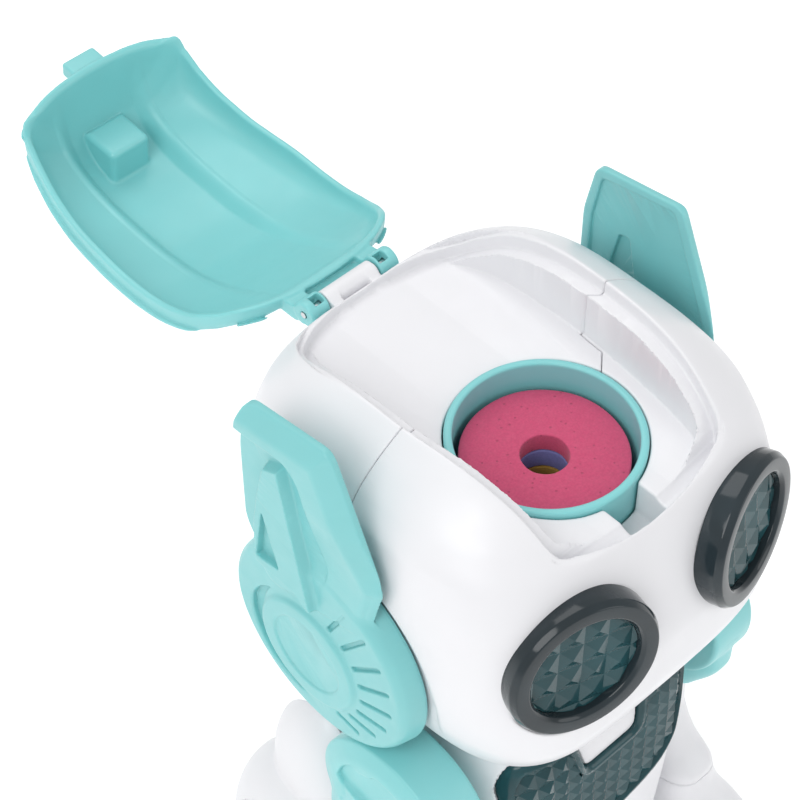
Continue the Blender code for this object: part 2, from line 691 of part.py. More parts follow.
def base():
    plate_rings = [plan_section((0, 31.2, -19.2, 47.2, 3.6, 3.6), 0.0, z, 36) for z in (-187.0, -183.5)]
    plate = loft("base_plate", plate_rings, "dark_plastic")
    for side, name in ((-1, "right"), (1, "left")):
        low, high = sorted((20.4 * side, 27.6 * side))
        cut(plate, box(f"cut_wheel_slot_{name}", (low, 0.5, -200), (high, 27.5, -170)))
        near, far = sorted((6.0 * side, 18.8 * side))
        motor = box(f"drive_motor_{name}", (near, 5.0, -183.2), (far, 23.0, -164.0), "motor_can", bevel=1.5)
        join(motor, cylinder(f"add_axle_{name}", (20.0 * side, 14, -178), (1, 0, 0), 1.5, 13.6, sides=16))
        turned(
            f"drive_wheel_{name}",
            [(11.2, 3.0), (12.0, 2.2), (12.0, -2.2), (11.2, -3.0), (1.62, -3.0), (1.62, 3.0)],
            (24.0 * side, 14.0, -178.0),
            (1, 0, 0),
            "rubber",
            steps=32,
        )
    cut(plate, box("cut_roller_slot", (-5.6, -17.5, -200), (5.6, -4.5, -170)))
    cut(plate, cylinder("cut_roller_bearing", (0, -11, -184), (1, 0, 0), 1.7, 18.0, sides=16))
    cut(plate, box("cut_roller_drop_in", (-9.0, -12.7, -184), (9.0, -9.3, -170)))
    roller = cylinder("front_roller", (0, -11, -184), (1, 0, 0), 6.0, 9.6, "nylon_gear", sides=24, origin=(0, -11, -184))
    add_bevel(roller, 0.8)
    join(roller, cylinder("add_roller_stubs", (0, -11, -184), (1, 0, 0), 1.5, 16.4, sides=16))
    cut(plate, box("cut_door_opening", (-18.3, 29.7, -200), (18.3, 44.3, -170)))
    box("battery_door", (-18, 30, -187), (18, 44, -184), "dark_plastic", bevel=0.4)
    cut(plate, box("cut_switch_slot", (-7.0, -1.6, -200), (7.0, 1.6, -170)))
    box("power_switch", (-5.5, -1.3, -188.6), (-1.5, 1.3, -182.0), "rubber")
    grip = ball("tail", (0, 50.5, -150), (5.2, 5.2, 5.2), "mint_shell", origin=(0, 50.5, -150))
    join(grip, cylinder("add_tail_tip", (0, 62.5, -145.8), (0, 0.944, 0.33), 4.2, 21.0, sides=20, tip=2.6))


def limbs():
    for side, name in ((-1, "right"), (1, "left")):
        def placed(rings):
            return [[(x * side, y, z) for x, y, z in ring] for ring in rings]

        pivot = (38.5 * side, SHOULDER[0], SHOULDER[1])
        upper = cylinder(
            f"upper_foreleg_{name}",
            (46.6 * side, SHOULDER[0], SHOULDER[1]),
            (side, 0, 0),
            22.0,
            15.4,
            "mint_shell",
            sides=32,
            origin=pivot,
        )
        add_bevel(upper, 2.5, 2)
        arm = [(level, 7.4, front, rear, 3.0, 3.0) for level, front, rear in
               ((-92.0, -24.0, 14.0), (-108.0, -24.5, 17.0), (-121.6, -17.5, 14.0))]
        rings = [[(x + 47.6, y, z) for x, y, z in plan_section(row, 0.0, 0.0, 20)] for row in arm]
        limb = loft(f"add_upper_arm_{name}", placed(rings), None)
        join(upper, limb)
        axle = cylinder(f"add_shoulder_axle_{name}", (37.0 * side, *SHOULDER), (1, 0, 0), 4.0, 8.0, sides=24)
        join(upper, axle)
        rows = (
            (-121.9, 7.2, -14.0, 13.5, 47.6),
            (-130.0, 7.4, -11.5, 12.0, 47.6),
            (-142.0, 7.4, -12.0, 9.0, 47.6),
            (-150.0, 7.6, -14.5, 6.5, 47.7),
            (-156.0, 7.8, -18.0, 4.0, 47.9),
            (-162.0, 8.2, -24.0, 1.5, 48.2),
            (-168.0, 8.8, -24.6, -1.5, 48.6),
            (-174.0, 9.4, -28.0, -4.0, 49.0),
            (-181.0, 11.2, -38.0, -5.2, 49.8),
            (-188.0, 11.8, -48.0, -5.2, 50.0),
            (-190.0, 10.8, -47.0, -6.2, 50.0),
        )
        rings = []
        for level, half, front, rear, across in rows:
            ring = plan_section((level, half, front, rear, 2.8, 3.0), 0.0, 0.0, 18)
            rings.append([(x + across, y, z) for x, y, z in ring])
        loft(f"foreleg_{name}", placed(rings), "white_shell", origin=pivot)
        haunch = ball(f"haunch_{name}", (41.0 * side, 35.0, -157.0), (20.0, 24.0, 30.0), "white_shell")
        join(haunch, ball(f"add_hip_{name}", (37.0 * side, 33.0, -129.0), (12.5, 16.5, 26.0)))
        cut(haunch, box(f"cut_haunch_{name}", (-38.8, -80, -260), (38.8, 120, 0)))
        cut(haunch, box(f"cut_haunch_foot_{name}", (-80, -80, -260), (80, 120, -177.6)))
        low, high = sorted((38.8 * side, 61.0 * side))
        box(f"rear_foot_{name}", (low, -3.0, FLOOR), (high, 50.0, -178.0), "mint_shell", bevel=3.0)


for leftover in list(bpy.data.objects):
    bpy.data.objects.remove(leftover, do_unlink=True)
PARTS = make_collection("parts")
CUTTERS = make_collection("cutters")
MATERIALS = {slot: make_material(slot) for slot in COLOURS}
magazine()
head()
eyes()
lid()
ears()
launcher()
torso()
base()
limbs()
for part in PARTS.objects:
    part.data.shade_smooth()
    part.data.set_sharp_from_angle(angle=math.radians(35))
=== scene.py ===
"""Looks of the sitting robot dog toy: moulded shells, foam discs, faceted lenses and a soft studio."""

import itertools
import math
from concurrent.futures import ThreadPoolExecutor

import bmesh
import bpy
import numpy as np
from mathutils import Matrix, Vector

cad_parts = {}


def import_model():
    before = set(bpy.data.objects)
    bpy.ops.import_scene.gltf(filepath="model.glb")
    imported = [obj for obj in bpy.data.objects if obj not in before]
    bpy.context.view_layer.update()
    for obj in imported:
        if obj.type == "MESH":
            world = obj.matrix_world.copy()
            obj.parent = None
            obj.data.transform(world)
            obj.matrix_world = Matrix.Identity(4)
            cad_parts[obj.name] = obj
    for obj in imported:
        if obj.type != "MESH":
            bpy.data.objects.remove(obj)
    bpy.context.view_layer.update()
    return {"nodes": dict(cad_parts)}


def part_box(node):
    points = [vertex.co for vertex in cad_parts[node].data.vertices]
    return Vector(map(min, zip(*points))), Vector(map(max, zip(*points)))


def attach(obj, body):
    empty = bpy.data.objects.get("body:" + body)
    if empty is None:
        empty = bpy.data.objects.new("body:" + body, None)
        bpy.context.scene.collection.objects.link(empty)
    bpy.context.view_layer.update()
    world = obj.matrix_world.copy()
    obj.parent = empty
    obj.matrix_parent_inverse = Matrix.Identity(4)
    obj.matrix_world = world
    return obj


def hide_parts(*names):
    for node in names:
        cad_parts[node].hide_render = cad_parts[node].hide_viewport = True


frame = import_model()

# Lengths are millimetres from the centre of the magazine's rim: +X is the dog's left, -Y its front.
MM = 0.001
tube_low, tube_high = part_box("magazine_tube")
RIM = Vector(((tube_low.x + tube_high.x) / 2, (tube_low.y + tube_high.y) / 2, tube_high.z))

HINGE = (63.6, -1.7)
LID_OPEN = math.radians(175.0)
SEAM_Y = 12.85
SHOULDER = (-5.0, -92.0)
WALL = 2.2
TUBE_R = 22.35
BORE_R = 20.4
CHAMBER_TOP = -66.9
CHAMBER_FLOOR = -73.0
CANYON_FLOOR = -1.6
PIN_BORE = 0.95
NECK_R = 14.3
LENS_R = 13.4
CELL_SCALE = 1.0
# faces larger than this many cells keep their own normal beyond the first angle, others beyond the second
LARGE_FACE = 1.5
LARGE_LIMIT = math.cos(math.radians(25.0))
SMALL_LIMIT = math.cos(math.radians(60.0))

# level, half width, front y, rear y, power of the front curve, power of the rear curve
HEAD = (
    (-80.0, 22.0, -13.0, 40.0, 2.6, 2.6),
    (-78.0, 28.0, -20.0, 46.5, 2.8, 2.8),
    (-73.0, 34.4, -27.6, 53.0, 3.1, 3.0),
    (-66.5, 40.0, -33.4, 57.0, 3.5, 3.4),
    (-58.0, 44.0, -37.8, 59.5, 4.0, 3.7),
    (-46.0, 47.3, -41.2, 61.0, 4.5, 3.8),
    (-34.0, 48.0, -41.2, 61.5, 5.0, 3.8),
    (-21.0, 48.0, -38.5, 61.0, 5.0, 3.8),
    (-10.0, 47.9, -35.5, 61.5, 4.6, 3.6),
    (0.0, 46.8, -31.6, 59.4, 3.9, 3.3),
    (6.0, 43.6, -27.8, 54.6, 3.5, 3.2),
    (11.0, 38.6, -23.0, 48.4, 3.4, 3.3),
    (14.6, 33.4, -17.6, 42.2, 3.5, 3.5),
    (16.5, 30.0, -13.0, 37.0, 3.4, 3.4),
    (19.0, 23.0, -7.5, 29.0, 3.0, 3.0),
    (21.0, 13.0, 1.0, 20.0, 2.4, 2.4),
)
TORSO = (
    (-185.0, 34.0, -22.0, 50.0, 3.6, 3.6),
    (-178.0, 37.0, -24.0, 52.0, 3.8, 3.8),
    (-150.0, 38.0, -26.5, 51.0, 4.0, 4.0),
    (-120.0, 38.0, -28.0, 48.5, 4.0, 4.0),
    (-92.0, 37.3, -27.4, 47.0, 4.0, 4.0),
    (-84.0, 35.5, -26.0, 46.0, 3.8, 3.8),
    (-74.0, 32.0, -24.0, 44.0, 3.6, 3.6),
)
# plan of the lid's seat: y and half width, front to rear
SEAT = (
    (-31.6, 0.0), (-30.6, 14.0), (-27.2, 25.6), (-19.6, 26.8), (-10.5, 28.3), (0.0, 29.5),
    (13.0, 30.5), (21.0, 30.5), (30.0, 30.2), (40.0, 29.4), (47.5, 27.0), (52.4, 23.8),
    (56.2, 17.5), (58.2, 9.0), (58.6, 0.0),
)
# y and height of the closed lid's rim, then of its crown line
RIM_LINE = (
    (-33.0, -1.2), (-27.2, 0.8), (-24.5, 4.9), (-19.6, 9.7), (-10.5, 13.9), (0.0, 15.6),
    (13.0, 15.2), (21.0, 14.9), (30.0, 13.7), (40.0, 10.3), (47.5, 5.6), (52.4, 2.2),
    (56.2, 0.9), (59.0, 0.6),
)
CROWN_LINE = (
    (-33.0, 6.0), (-30.5, 15.0), (-27.0, 21.5), (-22.0, 25.5), (-14.0, 27.6), (-4.0, 28.2),
    (8.0, 28.0), (22.0, 25.8), (34.0, 21.0), (44.0, 14.8), (52.0, 8.8), (59.0, 3.6),
)


def world(point):
    return RIM + Vector(point) * MM


# ---------------------------------------------------------------- distance fields


def blend_min(a, b, radius):
    """Union of two distances, with a fillet of about this radius where they meet."""
    if radius <= 0:
        return np.minimum(a, b)
    h = np.maximum(1.0 - np.abs(a - b) / radius, 0.0)
    return np.minimum(a, b) - h * h * radius / 4


def blend_max(a, b, radius):
    return -blend_min(-a, -b, radius)


def without(a, b, radius):
    """Solid a less solid b, its new edges rounded."""
    return blend_max(a, -b, radius)


def smooth_step(value, low, high):
    t = np.clip((value - low) / (high - low), 0, 1)
    return t * t * (3 - 2 * t)


class Curve:
    """A smooth function through stations that never overshoots them, read from a dense table."""

    def __init__(self, rows, count=6000):
        rows = np.array(rows, float)
        x, y = rows[:, 0], rows[:, 1:]
        step = np.diff(x)[:, None]
        slope = np.diff(y, axis=0) / step
        mean = 2 / (1 / (slope[:-1] + 1e-12) + 1 / (slope[1:] + 1e-12))
        inner = np.where(slope[:-1] * slope[1:] > 0, mean, 0)
        tangent = np.concatenate([slope[:1], inner, slope[-1:]])
        at = np.linspace(x[0], x[-1], count)
        i = np.clip(np.searchsorted(x, at, side="right") - 1, 0, len(x) - 2)
        t = ((at - x[i]) / step[i, 0])[:, None]
        self.low, self.scale = x[0], (count - 1) / (x[-1] - x[0])
        self.rows = (
            y[i] * (1 + 2 * t) * (1 - t) ** 2
            + tangent[i] * step[i] * t * (1 - t) ** 2
            + y[i + 1] * t * t * (3 - 2 * t)
            + tangent[i + 1] * step[i] * t * t * (t - 1)
        )

    def __call__(self, at):
        place = np.clip((at - self.low) * self.scale, 0, len(self.rows) - 1.001)
        i = place.astype(np.int32)
        t = place - i
        low, high = self.rows[i], self.rows[i + 1]
        return [low[..., k] * (1 - t) + high[..., k] * t for k in range(self.rows.shape[1])]


def rounded(points, radius, steps=6):
    """A closed outline with its corners rounded."""
    result = []
    points = [np.array(p, float) for p in points]
    for before, here, after in zip(points[-1:] + points, points, points[1:] + points[:1]):
        to, on = before - here, after - here
        reach = min(radius, 0.45 * np.linalg.norm(to), 0.45 * np.linalg.norm(on))
        a = here + to / np.linalg.norm(to) * reach
        b = here + on / np.linalg.norm(on) * reach
        for i in range(steps + 1):
            t = i / steps
            result.append(a * (1 - t) ** 2 + here * 2 * t * (1 - t) + b * t * t)
    return result


class Outline:
    """Distance to a closed outline, negative inside, read from a table."""

    def __init__(self, points, pitch=0.25, margin=6.0):
        points = np.array(points, float)
        self.low = points.min(0) - margin
        self.pitch = pitch
        size = np.ceil((points.max(0) + margin - self.low) / pitch).astype(int) + 1
        u, v = np.meshgrid(*[self.low[k] + np.arange(size[k]) * pitch for k in range(2)], indexing="ij")
        best = np.full(u.shape, 1e9)
        inside = np.zeros(u.shape, bool)
        for a, b in zip(points, np.roll(points, -1, 0)):
            edge = b - a
            length = edge @ edge
            if length < 1e-12:
                continue
            t = np.clip(((u - a[0]) * edge[0] + (v - a[1]) * edge[1]) / length, 0, 1)
            best = np.minimum(best, (u - a[0] - t * edge[0]) ** 2 + (v - a[1] - t * edge[1]) ** 2)
            if a[1] != b[1]:
                crosses = (v < a[1]) != (v < b[1])
                inside ^= crosses & (u < a[0] + (v - a[1]) * edge[0] / edge[1])
        self.table = np.where(inside, -1, 1) * np.sqrt(best)

    def __call__(self, u, v):
        size = self.table.shape
        a = (u - self.low[0]) / self.pitch
        b = (v - self.low[1]) / self.pitch
        i = np.clip(a, 0, size[0] - 1.001)
        j = np.clip(b, 0, size[1] - 1.001)
        beyond = np.hypot(a - i, b - j) * self.pitch
        m, n = i.astype(np.int32), j.astype(np.int32)
        s, t = i - m, j - n
        table = self.table
        low = table[m, n] * (1 - s) + table[m + 1, n] * s
        high = table[m, n + 1] * (1 - s) + table[m + 1, n + 1] * s
        return low * (1 - t) + high * t + beyond


def mirrored(points):
    """A loop from half an outline that starts and ends on the middle plane."""
    return list(points) + [(-x, y) for x, y in reversed(points) if abs(x) > 1e-9]


def levelled(field, step=0.25):
    """A field divided by its slope, so that it is a distance near its surface."""

    def result(x, y, z):
        here = field(x, y, z)
        slope = np.sqrt(
            (field(x + step, y, z) - here) ** 2
            + (field(x, y + step, z) - here) ** 2
            + (field(x, y, z + step) - here) ** 2
        )
        return here * step / np.maximum(slope, step * 0.25)

    return result


def shell_field(rows, bottom):
    """A shell's outer form: rounded rectangles whose front and rear curves have their own powers."""
    curve = Curve(rows)

    def raw(x, y, z):
        half, front, rear, front_power, rear_power = curve(z)
        across = np.abs(x) / half
        along = (y - (front + rear) / 2) / ((rear - front) / 2)
        power = np.where(along > 0, rear_power, front_power)
        size = np.maximum(across**power + np.abs(along) ** power, 1e-9) ** (1 / power)
        reach = np.hypot(x, y - (front + rear) / 2) / size
        return (size - 1) * reach

    even = levelled(raw)
    top = rows[-1][0]

    def result(x, y, z):
        side = even(x, y, np.clip(z, bottom, top))
        return blend_max(blend_max(side, z - top, 2.0), bottom - z, 2.0)

    return result


def box_field(x, y, z, low, high, radius=0.0):
    """A box with rounded edges."""
    gaps = []
    for value, a, b in zip((x, y, z), low, high):
        gaps.append(np.abs(value - (a + b) / 2) - (b - a) / 2 + radius)
    outside = np.sqrt(sum(np.maximum(gap, 0) ** 2 for gap in gaps))
    inside = np.minimum(np.maximum(np.maximum(gaps[0], gaps[1]), gaps[2]), 0)
    return outside + inside - radius


def ball_field(x, y, z, centre, size):
    """An ellipsoid, as a distance near its surface."""
    u = [(value - c) / s for value, c, s in zip((x, y, z), centre, size)]
    k0 = np.sqrt(u[0] ** 2 + u[1] ** 2 + u[2] ** 2)
    k1 = np.sqrt((u[0] / size[0]) ** 2 + (u[1] / size[1]) ** 2 + (u[2] / size[2]) ** 2)
    return k0 * (k0 - 1) / np.maximum(k1, 1e-9)


def rod_field(x, y, z, centre, axis, radius, half_length, edge=0.5):
    """A cylinder along a unit axis with rounded ends."""
    dx, dy, dz = x - centre[0], y - centre[1], z - centre[2]
    along = dx * axis[0] + dy * axis[1] + dz * axis[2]
    across = np.sqrt(np.maximum(dx * dx + dy * dy + dz * dz - along * along, 0))
    return blend_max(across - radius, np.abs(along) - half_length, edge)


def hinge_rod(x, y, z, radius, half_length, edge=0.5):
    return rod_field(x, y, z, (0, *HINGE), (1, 0, 0), radius, half_length, edge)


# ---------------------------------------------------------------- meshes from fields


def evaluate(field, points):
    """The field at many points, worked out in parallel slices."""
    slices = np.array_split(points, max(1, len(points) // 60000))
    with ThreadPoolExecutor(4) as pool:
        parts = pool.map(lambda p: field(p[:, 0], p[:, 1], p[:, 2]), slices)
        return np.concatenate(list(parts))


def slope_of(field, points, step):
    offsets = np.eye(3) * step
    rises = [evaluate(field, points + o) - evaluate(field, points - o) for o in offsets]
    return np.stack(rises, 1) / (2 * step)


def surface_of(field, low, high, cell):
    """Points and quads of the surface where the field is zero, by surface nets on the cells near it."""
    span = 4
    low = np.array(low, float)
    coarse = np.ceil((np.array(high, float) - low) / (cell * span)).astype(int)
    corners = np.stack(np.meshgrid(*[np.arange(n + 1) for n in coarse], indexing="ij"), -1).reshape(-1, 3)
    reach = np.abs(evaluate(field, low + corners * cell * span)).reshape(coarse + 1)
    nearest = np.full(coarse, 1e9)
    for dx, dy, dz in itertools.product((0, 1), repeat=3):
        part = reach[dx : dx + coarse[0], dy : dy + coarse[1], dz : dz + coarse[2]]
        nearest = np.minimum(nearest, part)
    near = nearest < cell * span * 1.25
    active = near.repeat(span, 0).repeat(span, 1).repeat(span, 2)
    shape = np.array(active.shape) + 1
    wanted = np.zeros(shape, bool)
    for dx, dy, dz in itertools.product((0, 1), repeat=3):
        wanted[dx : dx + shape[0] - 1, dy : dy + shape[1] - 1, dz : dz + shape[2] - 1] |= active
    index = np.flatnonzero(wanted)
    places = np.stack(np.unravel_index(index, shape), 1)
    values = np.ones(shape, np.float64)
    values.reshape(-1)[index] = evaluate(field, low + places * cell)
    inside = values < 0
    count = np.zeros(active.shape, np.uint8)
    for dx, dy, dz in itertools.product((0, 1), repeat=3):
        count += inside[dx : dx + shape[0] - 1, dy : dy + shape[1] - 1, dz : dz + shape[2] - 1]
    crossed = active & (count > 0) & (count < 8)
    cells = np.argwhere(crossed)
    total = np.zeros((len(cells), 3))
    number = np.zeros(len(cells))
    for axis in range(3):
        step = np.eye(3, dtype=int)[axis]
        others = [k for k in range(3) if k != axis]
        for u, v in itertools.product((0, 1), repeat=2):
            start = np.zeros(3, int)
            start[others[0]], start[others[1]] = u, v
            a = values[tuple((cells + start).T)]
            b = values[tuple((cells + start + step).T)]
            cut = (a < 0) != (b < 0)
            t = np.where(cut, a / np.where(cut, a - b, 1), 0)
            total += np.where(cut[:, None], start + t[:, None] * step, 0)
            number += cut
    points = low + (cells + total / number[:, None]) * cell
    ids = np.full(active.shape, -1, np.int64)
    ids[tuple(cells.T)] = np.arange(len(cells))
    quads = []
    for axis in range(3):
        u, v = (axis + 1) % 3, (axis + 2) % 3
        first = [slice(1, -1)] * 3
        second = [slice(1, -1)] * 3
        first[axis], second[axis] = slice(0, -1), slice(1, None)
        starts = inside[tuple(first)]
        at = np.argwhere(starts != inside[tuple(second)])
        outward = starts[tuple(at.T)]
        at[:, u] += 1
        at[:, v] += 1
        ring = []
        for du, dv in ((-1, -1), (0, -1), (0, 0), (-1, 0)):
            cell_at = at.copy()
            cell_at[:, u] += du
            cell_at[:, v] += dv
            ring.append(ids[tuple(cell_at.T)])
        ring = np.stack(ring, 1)
        ring[~outward] = ring[~outward][:, ::-1]
        quads.append(ring[(ring >= 0).all(1)])
    return points, np.concatenate(quads)


def settle(field, points, limit, rounds=2):
    """Moves points onto the surface along the field's slope."""
    for _ in range(rounds):
        slope = slope_of(field, points, 0.03)
        steep = np.maximum((slope**2).sum(1), 0.05)
        move = slope * (evaluate(field, points) / steep)[:, None]
        length = np.linalg.norm(move, axis=1)
        points = points - move * np.minimum(1, limit / np.maximum(length, 1e-9))[:, None]
    return points


def mesh_object(name, points, faces, body, material):
    """An object from points in millimetres, riding on a body."""
    mesh = bpy.data.meshes.new(name)
    mesh.from_pydata([tuple(p) for p in points], [], [tuple(f) for f in faces])
    mesh.validate()
    obj = bpy.data.objects.new(name, mesh)
    bpy.context.scene.collection.objects.link(obj)
    mesh.transform(Matrix.Translation(RIM) @ Matrix.Scale(MM, 4))
    mesh.materials.append(material)
    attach(obj, body)
    return obj


def reduced(points, quads, keep):
    """Fewer triangles where the surface is nearly flat."""
    mesh = bpy.data.meshes.new("reduce")
    mesh.vertices.add(len(points))
    mesh.vertices.foreach_set("co", points.astype(np.float32).ravel())
    mesh.loops.add(quads.size)
    mesh.loops.foreach_set("vertex_index", quads.astype(np.int32).ravel())
    mesh.polygons.add(len(quads))
    mesh.polygons.foreach_set("loop_start", np.arange(0, quads.size, 4, dtype=np.int32))
    mesh.update(calc_edges=True)
    obj = bpy.data.objects.new("reduce", mesh)
    bpy.context.scene.collection.objects.link(obj)
    modifier = obj.modifiers.new("Reduce", "DECIMATE")
    modifier.ratio = keep
    graph = bpy.context.evaluated_depsgraph_get()
    result = bpy.data.meshes.new_from_object(obj.evaluated_get(graph))
    bpy.data.objects.remove(obj)
    bpy.data.meshes.remove(mesh)
    flat = np.empty(len(result.vertices) * 3, np.float32)
    result.vertices.foreach_get("co", flat)
    faces = [tuple(face.vertices) for face in result.polygons]
    bpy.data.meshes.remove(result)
    return flat.reshape(-1, 3).astype(float), faces


def shaded(mesh, normals, area):
    """Normals from the field, but a face keeps its own where they differ by more than an angle.

    Large faces have the smaller angle, so a rounded edge does not shade the flat face beside it."""
    corners = np.empty(len(mesh.loops), np.int32)
    own = np.empty(len(mesh.polygons) * 3)
    size = np.empty(len(mesh.polygons))
    sides = np.empty(len(mesh.polygons), np.int32)
    mesh.loops.foreach_get("vertex_index", corners)
    mesh.polygons.foreach_get("normal", own)
    mesh.polygons.foreach_get("area", size)
    mesh.polygons.foreach_get("loop_total", sides)
    own = own.reshape(-1, 3).repeat(sides, 0)
    size = size.repeat(sides)
    smooth = normals[corners]
    agree = (own * smooth).sum(1) > np.where(size > area, LARGE_LIMIT, SMALL_LIMIT)
    mesh.shade_smooth()
    mesh.normals_split_custom_set(np.where(agree[:, None], smooth, own).tolist())


def moulded(name, field, low, high, body, material, cell=0.45, keep=0.2, turn=None):
    """A smooth piece from a field, with normals taken from the field itself."""
    cell *= CELL_SCALE
    points, quads = surface_of(field, low, high, cell)
    points = settle(field, points, cell * 0.4)
    points, faces = reduced(points, quads, keep)
    points = settle(field, points, cell * 0.25, rounds=1)
    normals = slope_of(field, points, 0.3)
    normals /= np.maximum(np.linalg.norm(normals, axis=1), 1e-9)[:, None]
    if turn is not None:
        points = turn(points)
        normals = turn(normals) - turn(np.zeros((1, 3)))
    obj = mesh_object(name, points, faces, body, material)
    shaded(obj.data, normals, LARGE_FACE * (cell * MM) ** 2)
    return obj


def lathe(name, profile, centre, axis, body, material):
    """A ring turned from a closed profile of (radius, height) pairs."""
    steps = 128
    turn = Vector(axis).to_track_quat("Z", "Y").to_matrix()
    points = []
    for r, h in profile:
        for i in range(steps):
            a = 2 * math.pi * i / steps
            spoke = Vector((r * math.cos(a), r * math.sin(a), h))
            points.append(tuple(Vector(centre) + turn @ spoke))
    faces = []
    for row in range(len(profile)):
        low = row * steps
        high = (row + 1) % len(profile) * steps
        for i in range(steps):
            j = (i + 1) % steps
            faces.append((low + i, high + i, high + j, low + j))
    obj = mesh_object(name, points, faces, body, material)
    obj.data.set_sharp_from_angle(angle=math.radians(50))
    return obj


# ---------------------------------------------------------------- materials


class Nodes:
    """A material's node tree with its Principled shader."""

    def __init__(self, name):
        self.material = bpy.data.materials.new(name)
        self.material.use_nodes = True
        self.tree = self.material.node_tree
        self.shader = self.tree.nodes["Principled BSDF"]
        coordinates = self.tree.nodes.new("ShaderNodeTexCoord")
        self.place = coordinates.outputs["Object"]

    def add(self, kind, **values):
        node = self.tree.nodes.new(kind)
        for name, value in values.items():
            if hasattr(node, name):
                setattr(node, name, value)
            else:
                node.inputs[name.replace("_", " ").title()].default_value = value
        return node

    def join(self, source, target):
        self.tree.links.new(source, target)

    def noise(self, scale, detail=2.0, roughness=0.5):
        node = self.add("ShaderNodeTexNoise", scale=scale, detail=detail, roughness=roughness)
        self.join(self.place, node.inputs["Vector"])
        return node.outputs["Fac"]

    def ramp(self, source, low, high, at=(0.3, 0.7)):
        """A number that runs from low to high as the source runs between two places."""
        node = self.add("ShaderNodeMapRange")
        node.inputs["From Min"].default_value, node.inputs["From Max"].default_value = at
        node.inputs["To Min"].default_value, node.inputs["To Max"].default_value = low, high
        self.join(source, node.inputs["Value"])
        return node.outputs["Result"]

    def mix(self, factor, first, second):
        node = self.add("ShaderNodeMix", data_type="RGBA")
        for socket, value in ((node.inputs[6], first), (node.inputs[7], second)):
            if isinstance(value, tuple):
                socket.default_value = (*value, 1.0)
            else:
                self.join(value, socket)
        self.join(factor, node.inputs[0])
        return node.outputs[2]

    def bump(self, height, strength, distance):
        node = self.add("ShaderNodeBump")
        node.inputs["Strength"].default_value = strength
        node.inputs["Distance"].default_value = distance
        self.join(height, node.inputs["Height"])
        if self.shader.inputs["Normal"].links:
            self.join(self.shader.inputs["Normal"].links[0].from_socket, node.inputs["Normal"])
        self.join(node.outputs["Normal"], self.shader.inputs["Normal"])


def shade(colour, factor):
    return tuple(min(1.0, c * factor) for c in colour)


def plastic(name, colour, roughness=0.25, drift=0.02, grain=0.05, depth=0.0, metallic=0.0):
    """Moulded plastic: faint drift in colour, uneven polish and a very fine orange peel."""
    n = Nodes(name)
    tint = n.mix(n.ramp(n.noise(55.0), 0.0, 1.0), shade(colour, 1 - drift), shade(colour, 1 + drift))
    n.join(tint, n.shader.inputs["Base Color"])
    polish = n.ramp(n.noise(240.0, 3.0), roughness * 0.85, roughness * 1.2)
    n.join(polish, n.shader.inputs["Roughness"])
    n.bump(n.noise(1400.0, 2.0), grain, 0.00008)
    n.shader.inputs["Metallic"].default_value = metallic
    if depth:
        n.shader.inputs["Subsurface Weight"].default_value = 0.2
        n.shader.inputs["Subsurface Scale"].default_value = depth
        n.shader.inputs["Subsurface Radius"].default_value = (0.7, 1.0, 1.0)
    return n.material


def foam(name, colour):
    """Closed-cell foam: matt, finely mottled, with scattered open pores, each dented by bump and tinted
    darker as painted shade inside it.
    """
    n = Nodes(name)
    cells = n.add("ShaderNodeTexVoronoi", scale=1500.0)
    n.join(n.place, cells.inputs["Vector"])
    skin = n.mix(n.ramp(n.noise(1800.0, 3.0), 0.0, 1.0), shade(colour, 0.93), shade(colour, 1.07))
    pores = n.add("ShaderNodeTexVoronoi", scale=420.0)
    n.join(n.place, pores.inputs["Vector"])
    pore_dent_and_painted_shade = n.ramp(pores.outputs["Distance"], 1.0, 0.0, (0.08, 0.15))
    # the darker tint in each pore is painted shade; the same mask also dents the pore by bump
    tint = n.mix(pore_dent_and_painted_shade, skin, shade(colour, 0.75))
    n.join(tint, n.shader.inputs["Base Color"])
    n.join(n.ramp(n.noise(700.0), 0.75, 0.95), n.shader.inputs["Roughness"])
    n.bump(cells.outputs["Distance"], 0.12, 0.0002)
    n.bump(pore_dent_and_painted_shade, 0.5, -0.0002)
    n.shader.inputs["Sheen Weight"].default_value = 0.15
    return n.material


def smoked(name, colour, roughness=0.1):
    """Dark smoked plastic with a clear, glossy surface."""
    n = Nodes(name)
    tint = n.mix(n.ramp(n.noise(70.0), 0.0, 1.0), shade(colour, 0.8), shade(colour, 1.25))
    n.join(tint, n.shader.inputs["Base Color"])
    n.join(n.ramp(n.noise(300.0), roughness * 0.7, roughness * 1.5), n.shader.inputs["Roughness"])
    n.shader.inputs["IOR"].default_value = 1.42
    return n.material


WHITE = (0.80, 0.80, 0.825)
MINT = (0.235, 0.62, 0.63)

